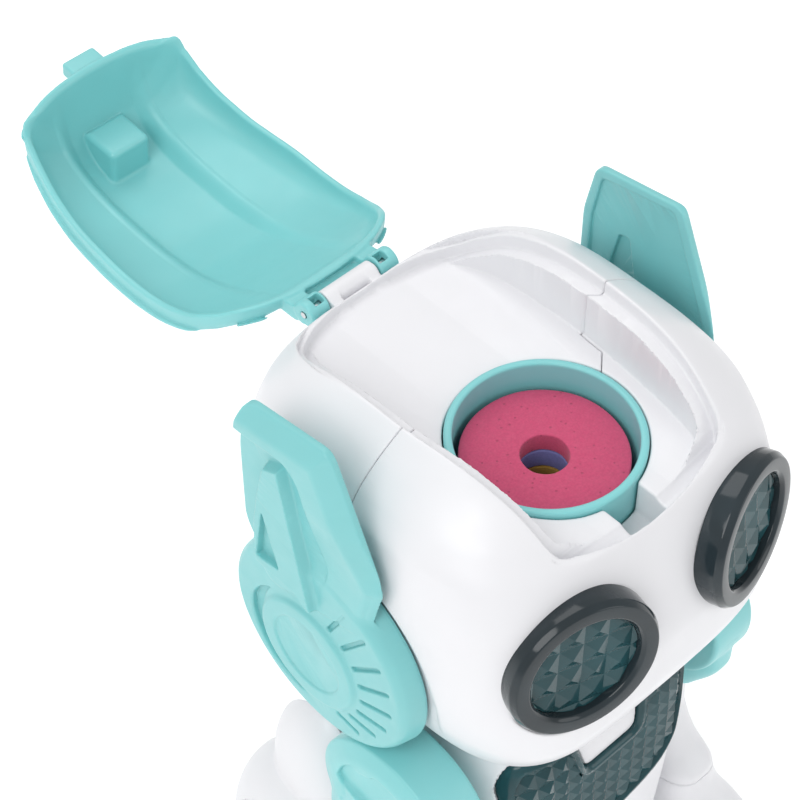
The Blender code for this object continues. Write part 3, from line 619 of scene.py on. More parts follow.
materials = {
    "white": plastic("white_abs", WHITE, 0.34, 0.008, 0.03),
    "mint": plastic("mint_pp", MINT, 0.34, 0.02, 0.05, depth=0.002),
    "mint_ear": plastic("mint_abs", (0.22, 0.58, 0.59), 0.34, 0.02, 0.04, depth=0.002),
    "ring": smoked("smoked_ring", (0.020, 0.030, 0.036)),
    "lens": smoked("smoked_lens", (0.016, 0.062, 0.072)),
    "foam_pink": foam("foam_pink", (0.60, 0.075, 0.17)),
    "foam_lavender": foam("foam_lavender", (0.20, 0.22, 0.50)),
    "foam_yellow": foam("foam_yellow", (0.50, 0.33, 0.06)),
    "foam_purple": foam("foam_purple", (0.20, 0.10, 0.34)),
    "steel": plastic("steel_pin", (0.62, 0.62, 0.63), 0.3, 0.05, 0.1, metallic=1.0),
    "motor": plastic("motor_can", (0.55, 0.56, 0.58), 0.35, 0.04, 0.1, metallic=1.0),
    "board": plastic("circuit_board", (0.02, 0.17, 0.07), 0.4, 0.1, 0.1),
    "dark": plastic("dark_abs", (0.028, 0.029, 0.032), 0.45, 0.1, 0.3),
    "nylon": plastic("nylon", (0.78, 0.76, 0.68), 0.5, 0.03, 0.1),
    "rubber": plastic("rubber", (0.028, 0.028, 0.028), 0.75, 0.15, 0.6),
    "battery": plastic("battery_wrap", (0.05, 0.11, 0.32), 0.35, 0.05, 0.05),
}


def stand_in(name, node, field, low, high, look, body="dog", **options):
    """A moulded piece in place of a CAD node."""
    piece = moulded(name, field, low, high, body, materials[look], **options)
    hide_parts(node)


# ---------------------------------------------------------------- head

seat_outline = Outline(rounded(mirrored([(x, y) for y, x in SEAT]), 7.0, 8))
rim_line = Curve(RIM_LINE)
crown_line = Curve(CROWN_LINE)
half_line = Curve([(y, x) for y, x in SEAT[2:-2]])

INNER = [(y if y > -27 else -23.6, x - 3.4) for y, x in SEAT[2:-3]]
inner_loop = [(0.0, -27.8), (14.0, -26.6)] + [(x, y) for y, x in INNER] + [(20.0, 70.0), (0.0, 70.0)]
inner_outline = Outline(rounded(mirrored(inner_loop), 2.5, 6))
# the front half's plan ends at the seam, which steps forward beside the magazine on the dog's left
seam_loop = [(-80.0, -90.0), (-80.0, SEAM_Y), (18.3, SEAM_Y), (22.3, 4.6), (26.3, 8.2), (26.7, 15.6)]
seam_loop += [(29.4, SEAM_Y), (80.0, SEAM_Y), (80.0, -90.0)]
seam_outline = Outline(seam_loop)

head_form = shell_field(HEAD, HEAD[0][0])

# where an ear pod meets the head: y, z and radius of its foot, and the foot's distance from the middle
SKIRT = (16.5, -45.5, 29.0, 46.5)


def above(height, x, y, z, step=0.05):
    """Distance above a height field, near it."""
    here = height(x, y)
    slope = np.hypot(height(x + step, y) - here, height(x, y + step) - here) / step
    return (z - here) / np.sqrt(1 + slope * slope)


def ledge_height(x, y):
    return np.maximum(rim_line(y)[0] - 2.6, -2.7)


def eye_axes(side):
    """Centre, outward normal and two directions across an eye."""
    yaw, pitch = math.radians(15.2) * side, math.radians(7.0)
    normal = Vector((math.sin(yaw) * math.cos(pitch), -math.cos(yaw) * math.cos(pitch), math.sin(pitch)))
    across = Vector((math.cos(yaw), math.sin(yaw), 0.0))
    return Vector((26.2 * side, -37.3, -21.4)), normal, across, normal.cross(across)


def head_field(x, y, z):
    """Both halves of the head: a hollow shell with the lid's seat, the canyon and every opening."""
    dish = np.maximum(np.hypot(y - SKIRT[0], z - SKIRT[1]) - SKIRT[2] - 1.4, SKIRT[3] - 0.5 - np.abs(x))
    outer = without(head_form(x, y, z), dish, 3.0)
    seat = seat_outline(x, y)
    inner = inner_outline(x, y)
    over_ledge = above(ledge_height, x, y, z)
    over_floor = z - CANYON_FLOOR - 0.09 * np.maximum(np.abs(x) - 10.4, 0)
    below = np.maximum(over_ledge, over_floor)
    wall = np.maximum(-inner, over_ledge)
    plateau = np.maximum(inner, over_floor)
    bed = blend_min(below, blend_min(wall, plateau, 0.5), 0.7)
    bed = blend_min(bed, -seat, 0.7)
    flange_room = np.maximum(seat - 1.3, 1.2 - above(rim_height, x, y, z))
    body = without(blend_max(outer, bed, 1.1), flange_room, 0.5)
    canyon = np.maximum(inner - WALL, CANYON_FLOOR - WALL - z)
    notch_walls = box_field(x, y, z, (-7.4, -70, -12.8), (7.4, -17, 70))
    shelf = np.maximum(seat - 1.6, -over_ledge - WALL)
    kept = np.minimum(np.minimum(canyon, notch_walls), shelf)
    body = np.maximum(body, -np.maximum(outer + WALL, -kept))
    radius = np.hypot(x, y)
    body = without(body, radius - TUBE_R - 0.3, 0.5)
    notch = box_field(x, y, z, (-5.25, -30.9, -10.7), (5.25, -18, 60), 0.4)
    body = without(body, notch, 0.7)
    outlet = box_field(x, y, z, (-20.8, -60, CHAMBER_FLOOR - 0.3), (20.8, -12, CHAMBER_TOP + 0.3), 1.0)
    body = without(body, outlet, 0.8)
    body = without(body, rod_field(x, y, z, (0, 12, -80), (0, 0, 1), NECK_R, 7.0), 0.6)
    stud = rod_field(np.abs(x), y, z, (48, 19.5, -47.6), (1, 0, 0), 10.3, 7.0)
    body = without(body, stud, 0.6)
    centre, normal, _, _ = eye_axes(1)
    for depth, eye_radius, half in ((9.2, 18.7, 10.0), (0.0, LENS_R, 20.0)):
        middle = centre + normal * depth
        body = without(body, rod_field(np.abs(x), y, z, middle, normal, eye_radius, half), 0.7)
    return body


def hinge_field(x, y, z, body):
    """Adds the white hinge barrel with its two feet, and bores it for the pin."""
    across = np.abs(x)
    clear = np.maximum(hinge_rod(x, y, z, 4.3, 15.0), 7.7 - across)
    body = without(body, clear, 0.5)
    body = without(body, hinge_rod(x, y, z, 3.3, 9.0), 0.4)
    barrel = hinge_rod(x, y, z, 2.6, 7.5, 0.4)
    foot = blend_max(foot_outline(y, z), np.abs(across - 5.8) - 1.55, 0.5)
    body = blend_min(body, blend_min(barrel, foot, 0.8), 0.6)
    return without(body, hinge_rod(x, y, z, PIN_BORE, 30.0), 0.2)


FOOT = [(53.0, -6.6), (63.4, -6.6), (65.2, -3.6), (64.4, -0.2), (62.4, 0.6), (55.0, -2.6), (53, -2.6)]
foot_outline = Outline(rounded(FOOT, 1.0, 4))
SEAM_GAP = 0.06


def front_head(x, y, z):
    return blend_max(head_field(x, y, z), seam_outline(x, y) + SEAM_GAP, 0.3)


def rear_head(x, y, z):
    whole = hinge_field(x, y, z, head_field(x, y, z))
    return blend_max(whole, SEAM_GAP - seam_outline(x, y), 0.3)


def head():
    for name, field, front, rear in (("front", front_head, -46, 18), ("rear", rear_head, 2, 67)):
        low, high = (-50, front, -82), (50, rear, 19)
        stand_in(f"head_{name}", f"head_shell_{name}", field, low, high, "white", keep=0.16)


def tube_field(x, y, z):
    """The mint tube with a softly rounded rim, open at its foot to the front and the feed."""
    radius = np.hypot(x, y)
    tube = blend_max(radius - TUBE_R, z, 0.9)
    tube = blend_max(tube, CHAMBER_FLOOR - 1.8 - z, 0.5)
    bore = np.maximum(radius - BORE_R, CHAMBER_FLOOR - z)
    tube = without(tube, bore, 0.7)
    tube = without(tube, radius - 4.0, 0.4)
    for low, high in (((-30, -30), (30, 1)), ((-20.6, 0), (14.4, 30))):
        opening = box_field(x, y, z, (*low, CHAMBER_FLOOR), (*high, CHAMBER_TOP))
        tube = without(tube, opening, 0.4)
    return tube


def magazine():
    low, high = (-24, -24, -76), (24, 24, 1.2)
    stand_in("magazine", "magazine_tube", tube_field, low, high, "mint", cell=0.4, keep=0.14)


DISC_R = 19.0
DISC_HOLE_R = 5.5
DISC_THICK = 5.2
DISC_EDGE = 0.45
DISC_COLOURS = ("foam_pink", "foam_lavender", "foam_yellow", "foam_purple")


def discs():
    """The stack of foam discs. Each has its own slight ripple and softly cut edges."""
    stack = sorted(name for name in frame["nodes"] if name.startswith("foam_disc_"))
    for i, node in enumerate(stack):
        top = (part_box(node)[1].z - RIM.z) / MM
        section = [
            (DISC_R, top),
            (DISC_R, top - DISC_THICK),
            (DISC_HOLE_R, top - DISC_THICK),
            (DISC_HOLE_R, top),
        ]
        profile = []
        corners = rounded(section, DISC_EDGE, 4)
        for a, b in zip(corners, corners[1:] + corners[:1]):
            count = max(1, int(math.dist(a, b) / 1.5))
            profile += [tuple(a + (b - a) * k / count) for k in range(count)]
        colour = DISC_COLOURS[i % len(DISC_COLOURS)]
        disc = lathe(f"foam_{i + 1:02d}", profile, (0, 0, 0), (0, 0, 1), "dog", materials[colour])
        for vertex in disc.data.vertices:
            angle = math.atan2(vertex.co.y - RIM.y, vertex.co.x - RIM.x)
            ripple = 0.06 * math.sin(3 * angle + i) + 0.04 * math.sin(7 * angle + 2.3 * i)
            vertex.co.z += (ripple - 0.1) * MM
        disc.data.shade_smooth()
        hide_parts(node)


# ---------------------------------------------------------------- eyes

# the ring's section: radius and height over its seat
EYE_RING = [(13.5, -0.5), (17.0, -0.5), (17.0, -4.0), (18.3, -4.0)]
EYE_RING += [(18.4, 1.2), (17.5, 2.7), (14.3, 2.7), (13.5, 1.9)]
EYE_FACET = 6.0
EYE_FACET_TURN = math.radians(5.0)
EYE_FACET_DEPTH = 2.0
FACET_RISE = 0.95
LENS_SINK = 0.1


def eyes():
    """A bevelled smoked ring round a sunken lens whose face is cut in square pyramids."""
    for side, name in ((-1, "right"), (1, "left")):
        centre, normal, across, up = eye_axes(side)
        corners = rounded(EYE_RING, 0.3, 3)
        ring = lathe(f"eye_bezel_{name}", corners, centre, normal, "dog", materials["ring"])
        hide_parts(f"eye_ring_{name}")
        lens = faceted_disc(f"eye_glass_{name}", centre, normal, across, up, side)
        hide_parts(f"eye_lens_{name}")


def pyramids(columns, rows, pitch, low):
    """A sheet of square pyramids with its lowest corner at a point."""
    built = bmesh.new()
    for i, j in itertools.product(range(columns), range(rows)):
        u0, v0 = low[0] + i * pitch, low[1] + j * pitch
        corners = [(u0, v0), (u0 + pitch, v0), (u0 + pitch, v0 + pitch), (u0, v0 + pitch)]
        ring = [built.verts.new((u, v, 0.0)) for u, v in corners]
        top = built.verts.new((u0 + pitch / 2, v0 + pitch / 2, FACET_RISE))
        for k in range(4):
            built.faces.new((ring[k], ring[(k + 1) % 4], top))
    bmesh.ops.remove_doubles(built, verts=built.verts, dist=1e-4)
    return built


def backed(built, depth):
    """The mesh of a sheet of pyramids, closed by a skirt and a flat back."""
    rim = [e for e in built.edges if e.is_boundary]
    for part in bmesh.ops.extrude_edge_only(built, edges=rim)["geom"]:
        if isinstance(part, bmesh.types.BMVert):
            part.co.z = -depth
    bmesh.ops.holes_fill(built, edges=[e for e in built.edges if e.is_boundary], sides=0)
    bmesh.ops.recalc_face_normals(built, faces=built.faces)
    mesh = bpy.data.meshes.new("pyramids")
    built.to_mesh(mesh)
    built.free()
    return mesh


def faceted_disc(name, centre, normal, across, up, side):
    """A round lens: pyramids cut by a circle, on a thin body."""
    half = int(LENS_R / EYE_FACET) + 2
    built = pyramids(2 * half, 2 * half, EYE_FACET, (-half * EYE_FACET, -half * EYE_FACET))
    built.transform(Matrix.Rotation(EYE_FACET_TURN * side, 4, "Z"))
    cuts = 72
    for i in range(cuts):
        a = 2 * math.pi * i / cuts
        out = Vector((math.cos(a), math.sin(a), 0))
        everything = built.verts[:] + built.edges[:] + built.faces[:]
        bmesh.ops.bisect_plane(
            built, geom=everything, plane_co=out * LENS_R, plane_no=out, clear_outer=True
        )
    mesh = backed(built, EYE_FACET_DEPTH)
    points = []
    for vertex in mesh.vertices:
        u, v, height = vertex.co
        points.append(tuple(centre + across * u + up * v + normal * (height + LENS_SINK)))
    faces = [tuple(face.vertices) for face in mesh.polygons]
    bpy.data.meshes.remove(mesh)
    return mesh_object(name, points, faces, "dog", materials["lens"])


# ---------------------------------------------------------------- ears

# the fin's outlines seen from the side: y and z
FIN = [(37.5, 21.0), (12.0, 25.2), (-3.8, -10.0), (0.0, -26.0), (32.2, -35.0), (40.5, -20.0), (40.5, 6.0)]
FIN_FRAME = [(70.0, 16.0), (12.0, 25.2), (-3.8, -10.0), (0.0, -26.0), (10.0, -60.0), (70.0, -60.0)]
FIN_VALLEY = [(37.0, 13.0), (23.0, 15.0), (19.0, 11.5), (11.8, -13.6)]
FIN_VALLEY += [(15.0, -30.0), (60.0, -30.0), (50.0, 13.0)]
FIN_RIDGE = [(30.5, 8.0), (25.0, 10.8), (15.6, -33.5), (21.5, -28.4)]
FIN_RIDGE += [(35.2, -28.4), (34.8, -14.0), (33.0, -3.0)]
FIN_HOLLOW = [(31.2, -8.0), (26.4, -24.2), (34.0, -25.6)]
FIN_POCKET = [(35.6, 18.6), (14.0, 22.6), (0.2, -10.0), (3.0, -22.0)]
FIN_POCKET += [(30.0, -26.0), (37.8, -18.0), (38.0, 5.0)]
FIN_CAVE = [(29.8, 4.0), (26.8, 5.0), (21.0, -22.0), (32.4, -22.0), (31.8, -6.0)]
fin_outline = Outline(rounded(FIN, 3.0, 6))
frame_outline = Outline(rounded(FIN_FRAME, 2.0, 6), 0.4)
valley_outline = Outline(rounded(FIN_VALLEY, 2.0, 5))
ridge_outline = Outline(rounded(FIN_RIDGE, 1.0, 4))
hollow_outline = Outline(rounded(FIN_HOLLOW, 0.8, 4))
pocket_outline = Outline(rounded(FIN_POCKET, 1.5, 4))
cave_outline = Outline(rounded(FIN_CAVE, 0.8, 3))
# an ear pod's section: radius and distance from the middle plane
POD_FACE = 52.8
POD = [(0.0, 46.5), (28.6, 46.5), (29.0, 47.2), (28.3, 51.4), (27.0, POD_FACE), (0.0, POD_FACE)]
pod_outline = Outline(rounded(POD, 1.0, 4))
POD_CENTRE = (17.5, -46.5)
CAP_CENTRE = (20.3, -51.2)
CAP_R = 15.8
SLOT_REACH = 23.8
SLOT_ANGLES = (114, 131, 149, 166, 184, 202, 219, 237)


def pod_field(d, y, z):
    """The round pod: it leans from its face towards its foot, and carries a cap, a groove and slots."""
    share = np.clip((POD_FACE - d) / (POD_FACE - SKIRT[3]), 0, 1)
    cy = POD_CENTRE[0] + (SKIRT[0] - POD_CENTRE[0]) * share
    cz = POD_CENTRE[1] + (SKIRT[1] - POD_CENTRE[1]) * share
    pod = pod_outline(np.hypot(y - cy, z - cz), d)
    across, up = y - CAP_CENTRE[0], z - CAP_CENTRE[1]
    radius = np.hypot(across, up)
    cap = blend_max(radius - CAP_R + 0.7 * (d - POD_FACE), d - POD_FACE - 1.0, 0.8)
    pod = blend_min(pod, np.maximum(cap, 50.0 - d), 0.5)
    dish = np.maximum(radius - 10.5, POD_FACE + 0.55 - d)
    pod = without(pod, dish, 0.9)
    angle = np.arctan2(up, across)
    crescent = np.abs(radius - CAP_R - 1.9) - 1.8 * np.clip(1.3 - ((angle + 0.35) / 0.95) ** 2, -0.5, 1.0)
    pod = without(pod, np.maximum(crescent, POD_FACE - 1.6 - d), 0.8)
    slots = np.full(pod.shape, 1e3)
    for degrees in SLOT_ANGLES:
        turn = math.radians(degrees)
        ends = []
        for centre, reach in ((CAP_CENTRE, CAP_R + 1.6), (POD_CENTRE, SLOT_REACH)):
            ends.append((centre[0] + reach * math.cos(turn), centre[1] + reach * math.sin(turn)))
        (ay, az), (by, bz) = ends
        run = (by - ay, bz - az)
        t = np.clip(((y - ay) * run[0] + (z - az) * run[1]) / (run[0] ** 2 + run[1] ** 2), 0, 1)
        slots = np.minimum(slots, np.hypot(y - ay - t * run[0], z - az - t * run[1]) - 0.6)
    return without(pod, np.maximum(slots, POD_FACE - 1.0 - d), 0.4)


def fin_field(d, y, z):
    """The upright fin: a chamfered frame round a valley with an A-shaped ridge, and a pocket behind."""
    edge = fin_outline(y, z)
    face = 55.0 - 2.4 * smooth_step(-z, -8.0, 14.0)
    chamfer = (d - face + 3.0 + 0.62 * frame_outline(y, z)) / 1.18
    fin = blend_max(blend_max(edge, 50.4 - d, 0.5), blend_max(chamfer, d - face, 0.5), 0.4)
    fin = without(fin, np.maximum(valley_outline(y, z) + 0.5 * (55.0 - d), 52.4 - d), 0.7)
    ridge = ridge_outline(y, z) + 0.3 * (d - 53.0)
    ridge = without(np.maximum(ridge, d - 55.2), np.maximum(hollow_outline(y, z), 53.2 - d), 0.4)
    fin = blend_min(fin, blend_max(ridge, blend_max(edge, 51.0 - d, 0.5), 0.5), 0.5)
    fin = without(fin, np.maximum(pocket_outline(y, z), d - 51.4), 0.6)
    return without(fin, np.maximum(cave_outline(y, z), d - 52.5), 0.5)


def ear_field(x, y, z):
    d = np.abs(x)
    ear = blend_min(pod_field(d, y, z), fin_field(d, y, z), 1.2)
    stud = rod_field(d, y, z, (47.0, 19.5, -47.6), (1, 0, 0), 10.0, 3.0)
    return np.minimum(ear, stud)


# in the photograph the dog's left ear stands a little further out and forward than its right one
EAR_OUT = {"right": (0.0, 0.0, 0.0), "left": (1.6, -1.4, 0.0)}


def ears():
    for side, name in ((-1, "right"), (1, "left")):
        near, far = sorted((43.0 * side, 56.5 * side))
        low, high = (near, -15.5, -78), (far, 49, 28)

        def moved(points, out=EAR_OUT[name]):
            return points + np.array(out)

        stand_in(
            f"ear_cover_{name}", f"ear_{name}", ear_field, low, high, "mint_ear", cell=0.4, turn=moved
        )


# ---------------------------------------------------------------- lid


def opened(points):
    """Turns points of the closed lid to where they stand with the lid open."""
    c, s = math.cos(-LID_OPEN), math.sin(-LID_OPEN)
    y, z = points[:, 1] - HINGE[0], points[:, 2] - HINGE[1]
    return np.stack([points[:, 0], HINGE[0] + y * c - z * s, HINGE[1] + y * s + z * c], 1)


def rim_height(x, y):
    """The closed lid's rim, lifted a little at its front corners."""
    return rim_line(y)[0] + 1.6 * np.exp(-(((y + 27.0) / 3.5) ** 2))


def dome_height(x, y):
    """The closed lid's outer surface: a dome with a raised stripe along its middle."""
    edge = rim_line(y)[0] + 4.0
    crown = np.maximum(crown_line(y)[0], edge)
    share = np.minimum(np.abs(x) / (half_line(y)[0] + 1.0), 1.0)
    stripe = 3.2 * smooth_step(14.5 - np.abs(x), 0.0, 4.6)
    return edge + (crown - 3.2 - edge) * (1 - share**2.4) + stripe * np.minimum((crown - edge) / 10.0, 1.0)


def lid_field(x, y, z):
    """The closed lid: a hollow dome with a lip, a stepped flange, a boss and a latch tab."""
    seat = seat_outline(x, y)
    rim = above(rim_height, x, y, z)
    top = above(dome_height, x, y, z)
    lip = blend_max(seat + 0.6, -1.9 - rim, 0.8)
    flange = blend_max(seat - 0.7, 1.8 - rim, 0.8)
    block = blend_max(blend_min(lip, flange, 0.5), top, 3.0)
    cavity = blend_max(seat + 2.3, top + WALL, 4.0)
    body = without(block, cavity, 0.9)
    boss = box_field(x, y, z, (-6.0, -28.0, 15.2), (6.0, -15.5, 40.0), 1.5)
    boss = blend_max(boss, (15.2 + 2.4 - z - 1.1 * (y + 28.0)) / 1.49, 0.6)
    boss = blend_max(boss, top, 0.5)
    body = blend_min(body, boss, 0.9)
    tab = box_field(x, y, z, (-4.9, -36.0, -1.1), (4.9, -30.0, 3.0), 0.8)
    return blend_min(body, tab, 0.9)


KNUCKLE_X = 10.7
ARM = [(63.4, -4.6), (63.6, 1.4), (59.5, 3.2), (56.0, 3.2), (56.0, -0.4), (59.6, -1.2)]
arm_outline = Outline(rounded(ARM, 1.0, 4))


def whole_lid(x, y, z):
    """The lid with its sill, and its two windowed knuckles on arms beside the hinge barrel."""
    across = np.abs(x)
    body = lid_field(x, y, z)
    knuckle = rod_field(across, y, z, (KNUCKLE_X, *HINGE), (1, 0, 0), 3.25, 2.8, 0.6)
    arm = blend_max(arm_outline(y, z), np.abs(across - KNUCKLE_X) - 2.65, 0.5)
    sill = box_field(x, y, z, (-13.0, 55.5, 1.1), (13.0, 61.3, 3.4), 0.6)
    body = blend_min(blend_min(body, sill, 0.8), blend_min(knuckle, arm, 0.8), 0.8)
    low, high = (8.6, HINGE[0] - 1.5, HINGE[1] - 8), (11.3, HINGE[0] + 1.5, HINGE[1] - 0.4)
    body = without(body, box_field(across, y, z, low, high, 0.2), 0.3)
    body = without(body, hinge_rod(x, y, z, PIN_BORE, 30.0), 0.2)
    hinge_room = np.maximum(across - 8.0, hinge_rod(x, y, z, 2.9, 30.0))
    return without(body, hinge_room, 0.3)


def lid():
    low, high = (-33, -38, -7), (33, 69, 30)
    options = {"cell": 0.4, "keep": 0.25, "turn": opened}
    stand_in("lid_cover", "lid", whole_lid, low, high, "mint", "lid", **options)


# ---------------------------------------------------------------- torso

PANEL = [(11.6, -79.5), (8.8, -92.7), (-8.8, -92.7), (-11.6, -79.5), (-27.0, -79.5)]
PANEL += [(-31.0, -86.0), (-32.0, -104.0), (-28.5, -115.5), (-20.0, -119.5), (0.0, -124.0)]
PANEL += [(20.0, -119.5), (28.5, -115.5), (32.0, -104.0), (31.0, -86.0), (27.0, -79.5)]
panel_outline = Outline(rounded(PANEL, 2.6, 6))
torso_form = shell_field(TORSO, TORSO[0][0])
# the same form carried on down, so that the shell is open below
torso_inside = shell_field(TORSO, -260.0)
SPLIT_Y = 12.0
PANEL_FACET = 4.6
PANEL_BORDER = 2.2
GRILLE = ((0, -110), (6, -110), (-6, -110), (3, -104.8), (-3, -104.8), (3, -115.2), (-3, -115.2))
TAIL = (0.0, 50.5, -150.0)


def torso_field(x, y, z):
    """Both halves of the torso: a shell open below, dished under the head, with the panel's pocket."""
    outer = torso_form(x, y, z)
    body = blend_max(outer, 0.6 - head_form(x, y, z), 0.5)
    body = without(body, blend_max(torso_inside(x, y, z) + WALL, z + 84.4, 2.0), 0.6)
    body = without(body, rod_field(x, y, z, (0, 12, -84), (0, 0, 1), NECK_R, 7.0), 0.5)
    body = without(body, np.hypot(y - SHOULDER[0], z - SHOULDER[1]) - 4.2, 0.4)
    pocket = np.maximum(np.maximum(panel_outline(x, z) - 0.35, -1.2 - outer), y)
    return without(body, pocket, 0.4)


def front_torso(x, y, z):
    return blend_max(torso_field(x, y, z), y - SPLIT_Y, 0.3)


def rear_torso(x, y, z):
    body = blend_max(torso_field(x, y, z), SPLIT_Y + 0.12 - y, 0.3)
    body = without(body, ball_field(x, y, z, TAIL, (5.6, 5.6, 5.6)), 0.5)
    for gx, gz in GRILLE:
        body = without(body, np.maximum(np.hypot(x - gx, z - gz) - 1.5, 30.0 - y), 0.4)
    return body


def panel_field(x, y, z):
    """The smoked U on the chest: a tray with a bevelled border."""
    edge = panel_outline(x, z)
    outer = torso_form(x, y, z)
    border = np.minimum(np.minimum(1.5, 0.6 - edge), 1.5 + 2.5 * (PANEL_BORDER - 0.4 + edge))
    height = np.maximum(border, -0.5)
    return blend_max(blend_max(edge, outer - height, 0.3), -0.8 - outer, 0.1)


def inset(points, distance):
    """A counterclockwise outline moved inwards."""
    points = [Vector(p) for p in points]
    result = []
    for before, here, after in zip(points[-1:] + points[:-1], points, points[1:] + points[:1]):
        a, b = (here - before).normalized(), (after - here).normalized()
        first, second = Vector((-a.y, a.x)), Vector((-b.y, b.x))
        middle = (first + second).normalized()
        result.append(tuple(here + middle * (distance / middle.dot(first))))
    return result


def cut_to(mesh, outline, depth):
    """A mesh cut by the prism over an outline."""
    count = len(outline)
    points = [(u, v, h) for h in (-depth, depth) for u, v in outline]
    faces = [tuple(reversed(range(count))), tuple(range(count, 2 * count))]
    faces += [(i, (i + 1) % count, count + (i + 1) % count, count + i) for i in range(count)]
    prism_mesh = bpy.data.meshes.new("prism")
    prism_mesh.from_pydata(points, [], faces)
    prism = bpy.data.objects.new("prism", prism_mesh)
    sheet = bpy.data.objects.new("sheet", mesh)
    for obj in (prism, sheet):
        bpy.context.scene.collection.objects.link(obj)
    modifier = sheet.modifiers.new("Cut", "BOOLEAN")
    modifier.operation = "INTERSECT"
    modifier.solver = "EXACT"
    modifier.object = prism
    result = bpy.data.meshes.new_from_object(sheet.evaluated_get(bpy.context.evaluated_depsgraph_get()))
    for obj, used in ((sheet, mesh), (prism, prism_mesh)):
        bpy.data.objects.remove(obj)
        bpy.data.meshes.remove(used)
    return result


def panel_facets():
    """The pyramids inside the chest panel's border, bent over the front of the torso."""
    sheet = backed(pyramids(16, 12, PANEL_FACET, (-8 * PANEL_FACET, -130.0)), 0.5)
    cut = cut_to(sheet, rounded(inset(PANEL, PANEL_BORDER - 0.2), 1.2, 4), 6.0)
    places = np.array([tuple(v.co) for v in cut.vertices])
    faces = [tuple(face.vertices) for face in cut.polygons]
    bpy.data.meshes.remove(cut)
    base = np.stack([places[:, 0], np.full(len(places), -24.0), places[:, 1]], 1)
    for _ in range(12):
        base[:, 1] += evaluate(torso_form, base)
    slope = slope_of(torso_form, base, 0.3)
    slope /= np.linalg.norm(slope, axis=1)[:, None]
    points = base + slope * (places[:, 2:] + 0.2)
    piece = mesh_object("chest_facets", points, faces, "dog", materials["lens"])


def torso():
    for name, field, front, rear in (("front", front_torso, -31, 14), ("rear", rear_torso, 10, 54)):
        low, high = (-40, front, -187), (40, rear, -72)
        options = {"cell": 0.55, "keep": 0.14}
        stand_in(f"torso_{name}", f"torso_shell_{name}", field, low, high, "white", **options)
    low, high = (-34, -32, -126), (34, -12, -78)
    stand_in("chest_window", "chest_panel", panel_field, low, high, "lens", cell=0.3)
    panel_facets()


# ---------------------------------------------------------------- limbs

# level, half width, front y, rear y, distance from the middle plane
UPPER_ARM = (
    (-121.6, 7.4, -17.5, 14.0, 47.6),
    (-108.0, 7.4, -24.5, 17.0, 47.6),
    (-92.0, 7.4, -24.0, 14.0, 47.6),
)
FORELEG = (
    (-190.0, 10.8, -47.0, -6.2, 50.0),
    (-188.0, 11.8, -47.7, -5.2, 50.0),
    (-181.0, 11.2, -38.0, -5.2, 49.8),
    (-174.0, 9.4, -28.0, -4.0, 49.0),
    (-168.0, 8.8, -24.6, -1.5, 48.6),
    (-162.0, 8.2, -24.0, 1.5, 48.2),
    (-156.0, 7.8, -18.0, 4.0, 47.9),
    (-150.0, 7.6, -14.5, 6.5, 47.7),
    (-142.0, 7.4, -12.0, 9.0, 47.6),
    (-130.0, 7.4, -11.5, 12.0, 47.6),
    (-121.9, 7.2, -14.0, 13.5, 47.6),
)
DISC_FACE = 54.3
HAUNCH_INSIDE = 38.8


def limb_form(rows, power, edge):
    """A limb with superellipse sections, from level to level."""
    curve = Curve(rows)

    def raw(x, y, z):
        half, front, rear, across = curve(z)
        u = np.abs(x - across) / half
        v = np.abs(y - (front + rear) / 2) / ((rear - front) / 2)
        size = np.maximum(u**power + v**power, 1e-9) ** (1 / power)
        return (size - 1) * np.hypot(x - across, y - (front + rear) / 2) / size

    even = levelled(raw)
    bottom, top = rows[0][0], rows[-1][0]

    def result(x, y, z):
        side = even(x, y, np.clip(z, bottom, top))
        return blend_max(blend_max(side, z - top, edge), bottom - z, edge)

    return result


upper_arm = limb_form(UPPER_ARM, 3.0, 0.6)
lower_leg = limb_form(FORELEG, 2.8, 1.2)


def upper_foreleg_field(x, y, z):
    """A mint disc with a wide sloping ring, a scalloped recess and a raised hub, its arm and its axle."""
    d = np.abs(x)
    dy, dz = y - SHOULDER[0], z - SHOULDER[1]
    radius = np.hypot(dy, dz)
    disc = blend_max(radius - 22.0, np.abs(d - 46.6) - 7.7, 1.6)
    disc = blend_max(disc, (d - DISC_FACE + 0.42 * (radius - 17.2)) / 1.08, 0.6)
    lobes = smooth_step(np.cos(5.0 * np.arctan2(dz, dy) + 0.6), 0.1, 0.9)
    hub = 0.9 * np.exp(-((radius / 6.5) ** 2))
    recess = np.maximum(radius - 15.6 + 1.9 * lobes, DISC_FACE - 1.3 + hub - d)
    disc = without(disc, recess, 0.9)
    arm = upper_arm(d, y, z)
    axle = rod_field(d, y, z, (37.0, *SHOULDER), (1, 0, 0), 4.0, 4.0, 0.4)
    return np.minimum(blend_min(disc, arm, 1.2), axle)


def foreleg_field(x, y, z):
    """A white foreleg: its paw has two grooves between its toes, and its ankle a fine one."""
    d = np.abs(x)
    leg = lower_leg(d, y, z)
    for toe in (46.3, 53.7):
        groove = np.maximum(np.abs(d - toe) - 0.55, y + 30.0 + 0.9 * (z + 186.0))
        leg = without(leg, np.maximum(groove, -1.3 - leg), 0.7)
    ankle = np.maximum(np.abs(z + 165.2 + 0.12 * (y + 10.0)) - 0.25, -0.5 - leg)
    return without(leg, ankle, 0.3)


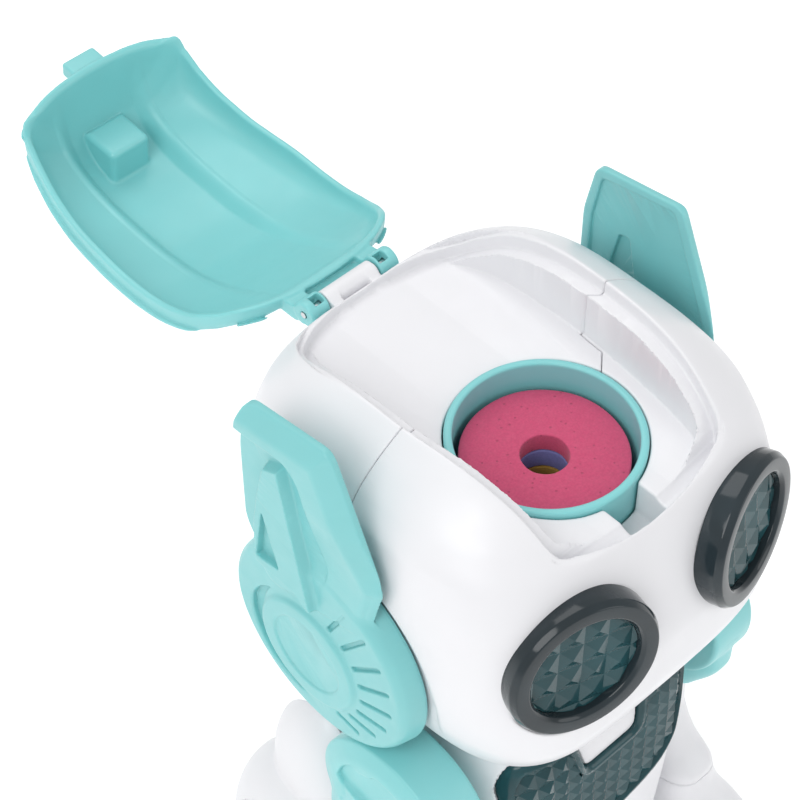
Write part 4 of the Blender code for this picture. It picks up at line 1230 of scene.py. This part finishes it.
def haunch_field(x, y, z):
    """A white hip with the thigh over it, and the thigh's engraved line."""
    d = np.abs(x)
    thigh = ball_field(d, y, z, (41.0, 35.0, -157.0), (20.0, 24.0, 30.0))
    hip = ball_field(d, y, z, (37.0, 33.0, -129.0), (12.5, 16.5, 26.0))
    inner = ball_field(d, y, z, (41.0, 35.0, -157.0), (30.0, 17.5, 23.0))
    line = np.maximum(np.abs(inner) - 0.35, np.maximum(-0.7 - thigh, 48.0 - d))
    body = without(blend_min(thigh, hip, 0.9), line, 0.4)
    return blend_max(blend_max(body, HAUNCH_INSIDE - d, 0.5), -177.6 - z, 0.5)


def rear_foot_field(x, y, z):
    """A mint rear foot with three toes."""
    d = np.abs(x)
    foot = box_field(d, y, z, (HAUNCH_INSIDE, -3.0, -190.0), (61.0, 50.0, -178.0), 3.2)
    for toe in (46.2, 53.6):
        groove = np.maximum(np.abs(d - toe) - 0.6, y - 8.0 - 0.8 * (z + 190.0))
        foot = without(foot, np.maximum(groove, -1.2 - foot), 0.7)
    return foot


def tail_field(x, y, z):
    """The tail's ball and its tapering tip, which has two fine grooves."""
    ball = ball_field(x, y, z, TAIL, (5.2, 5.2, 5.2))
    dy, dz = y - 62.5, z + 145.8
    along = 0.944 * dy + 0.33 * dz
    across = np.sqrt(x * x + np.maximum(dy * dy + dz * dz - along * along, 0))
    tip = blend_max(across - 3.4 + 0.0762 * along, np.abs(along) - 10.5, 2.2)
    for place in (1.5, 4.0):
        tip = without(tip, np.maximum(np.abs(along - place) - 0.3, 2.6 - 0.0762 * along - across), 0.3)
    return blend_min(ball, tip, 1.5)


# piece, node, field, look, then the lowest and highest distance from the middle plane, y and level
LIMBS = (
    ("arm_disc", "upper_foreleg", upper_foreleg_field, "mint", (32, 56), (-31, 21), (-124, -68)),
    ("paw", "foreleg", foreleg_field, "white", (37, 63), (-50, 16), (-191.5, -120)),
    ("thigh", "haunch", haunch_field, "white", (37.5, 62), (9, 61), (-179, -102)),
    ("hind_foot", "rear_foot", rear_foot_field, "mint", (37.5, 62.5), (-5, 52), (-191.5, -176)),
)


def limbs():
    for side, name in ((-1, "right"), (1, "left")):
        for title, node, field, look, across, along, level in LIMBS:
            left, right = sorted(edge * side for edge in across)
            low, high = zip((left, right), along, level)
            body = f"foreleg_{name}" if "foreleg" in node else "dog"
            stand_in(
                f"{title}_{name}", f"{node}_{name}", field, low, high, look, body, keep=0.16
            )
    low, high = (-7, 44, -157), (7, 76, -138)
    stand_in("tail_tip", "tail", tail_field, low, high, "mint", "tail", cell=0.4)


# ---------------------------------------------------------------- CAD nodes that stay

FINISHES = {
    "steel": ("lid_hinge_pin",),
    "motor": ("launch_motor", "feed_motor", "drive_motor_right", "drive_motor_left"),
    "board": ("main_board", "chest_light_board", "eye_light_board_right", "eye_light_board_left"),
    "dark": ("neck_collar", "speaker", "base_plate", "battery_door"),
    "nylon": ("disc_pusher", "feed_pinion", "front_roller"),
    "rubber": ("launch_flywheel", "drive_wheel_right", "drive_wheel_left", "power_switch"),
    "battery": ("battery_pack",),
}


def finish_cad():
    for look, names in FINISHES.items():
        for name in names:
            for place in frame["nodes"][name].material_slots:
                place.material = materials[look]


# ---------------------------------------------------------------- studio


def area_light(name, place, target, size, watts):
    light = bpy.data.lights.new(name, "AREA")
    light.shape = "DISK"
    light.size = size
    light.energy = watts
    obj = bpy.data.objects.new(name, light)
    obj.location = place
    obj.rotation_euler = (Vector(target) - Vector(place)).to_track_quat("-Z", "Y").to_euler()
    bpy.context.scene.collection.objects.link(obj)


def studio():
    scene = bpy.context.scene
    scene.view_settings.view_transform = "Standard"
    world_shader = bpy.data.worlds.new("studio")
    world_shader.use_nodes = True
    background = world_shader.node_tree.nodes["Background"]
    background.inputs["Color"].default_value = (1.0, 1.0, 1.0, 1.0)
    background.inputs["Strength"].default_value = 0.66
    scene.world = world_shader
    head_place = (0.0, 0.0, 0.16)
    area_light("key", (-0.75, -0.25, 0.95), head_place, 0.7, 4.2)
    area_light("top", (0.15, 0.5, 1.15), head_place, 0.8, 3.0)
    area_light("front", (0.55, -0.95, 0.55), head_place, 0.6, 1.3)
    floor_mesh = bpy.data.meshes.new("floor")
    span = 3.0
    corners = [(-span, -span, 0), (span, -span, 0), (span, span, 0), (-span, span, 0)]
    floor_mesh.from_pydata(corners, [], [(0, 1, 2, 3)])
    floor = bpy.data.objects.new("floor", floor_mesh)
    floor.location.z = -0.0005
    scene.collection.objects.link(floor)
    n = Nodes("pale_floor")
    tint = n.mix(n.ramp(n.noise(3.0), 0.0, 1.0), (0.9, 0.9, 0.9), (0.92, 0.92, 0.92))
    n.join(tint, n.shader.inputs["Base Color"])
    n.shader.inputs["Roughness"].default_value = 0.9
    n.shader.inputs["Emission Color"].default_value = (1, 1, 1, 1)
    n.shader.inputs["Emission Strength"].default_value = 0.3
    floor_mesh.materials.append(n.material)


def camera():
    """The viewpoint: high over the dog's right front, with a long lens."""
    data = bpy.data.cameras.new("camera")
    data.lens = 102.65
    data.sensor_width = 36.0
    obj = bpy.data.objects.new("camera", data)
    right = Vector((0.7266, -0.6871, 0.0))
    up = Vector((0.5162, 0.5459, 0.6601))
    back = right.cross(up)
    turned = Matrix((right, up, back)).transposed().to_4x4()
    obj.matrix_world = Matrix.Translation(world((-242.8, -210.7, 375.2))) @ turned
    data.clip_end = 10.0
    bpy.context.scene.collection.objects.link(obj)
    bpy.context.scene.camera = obj


head()
magazine()
discs()
eyes()
ears()
lid()
torso()
limbs()
finish_cad()
studio()
camera()
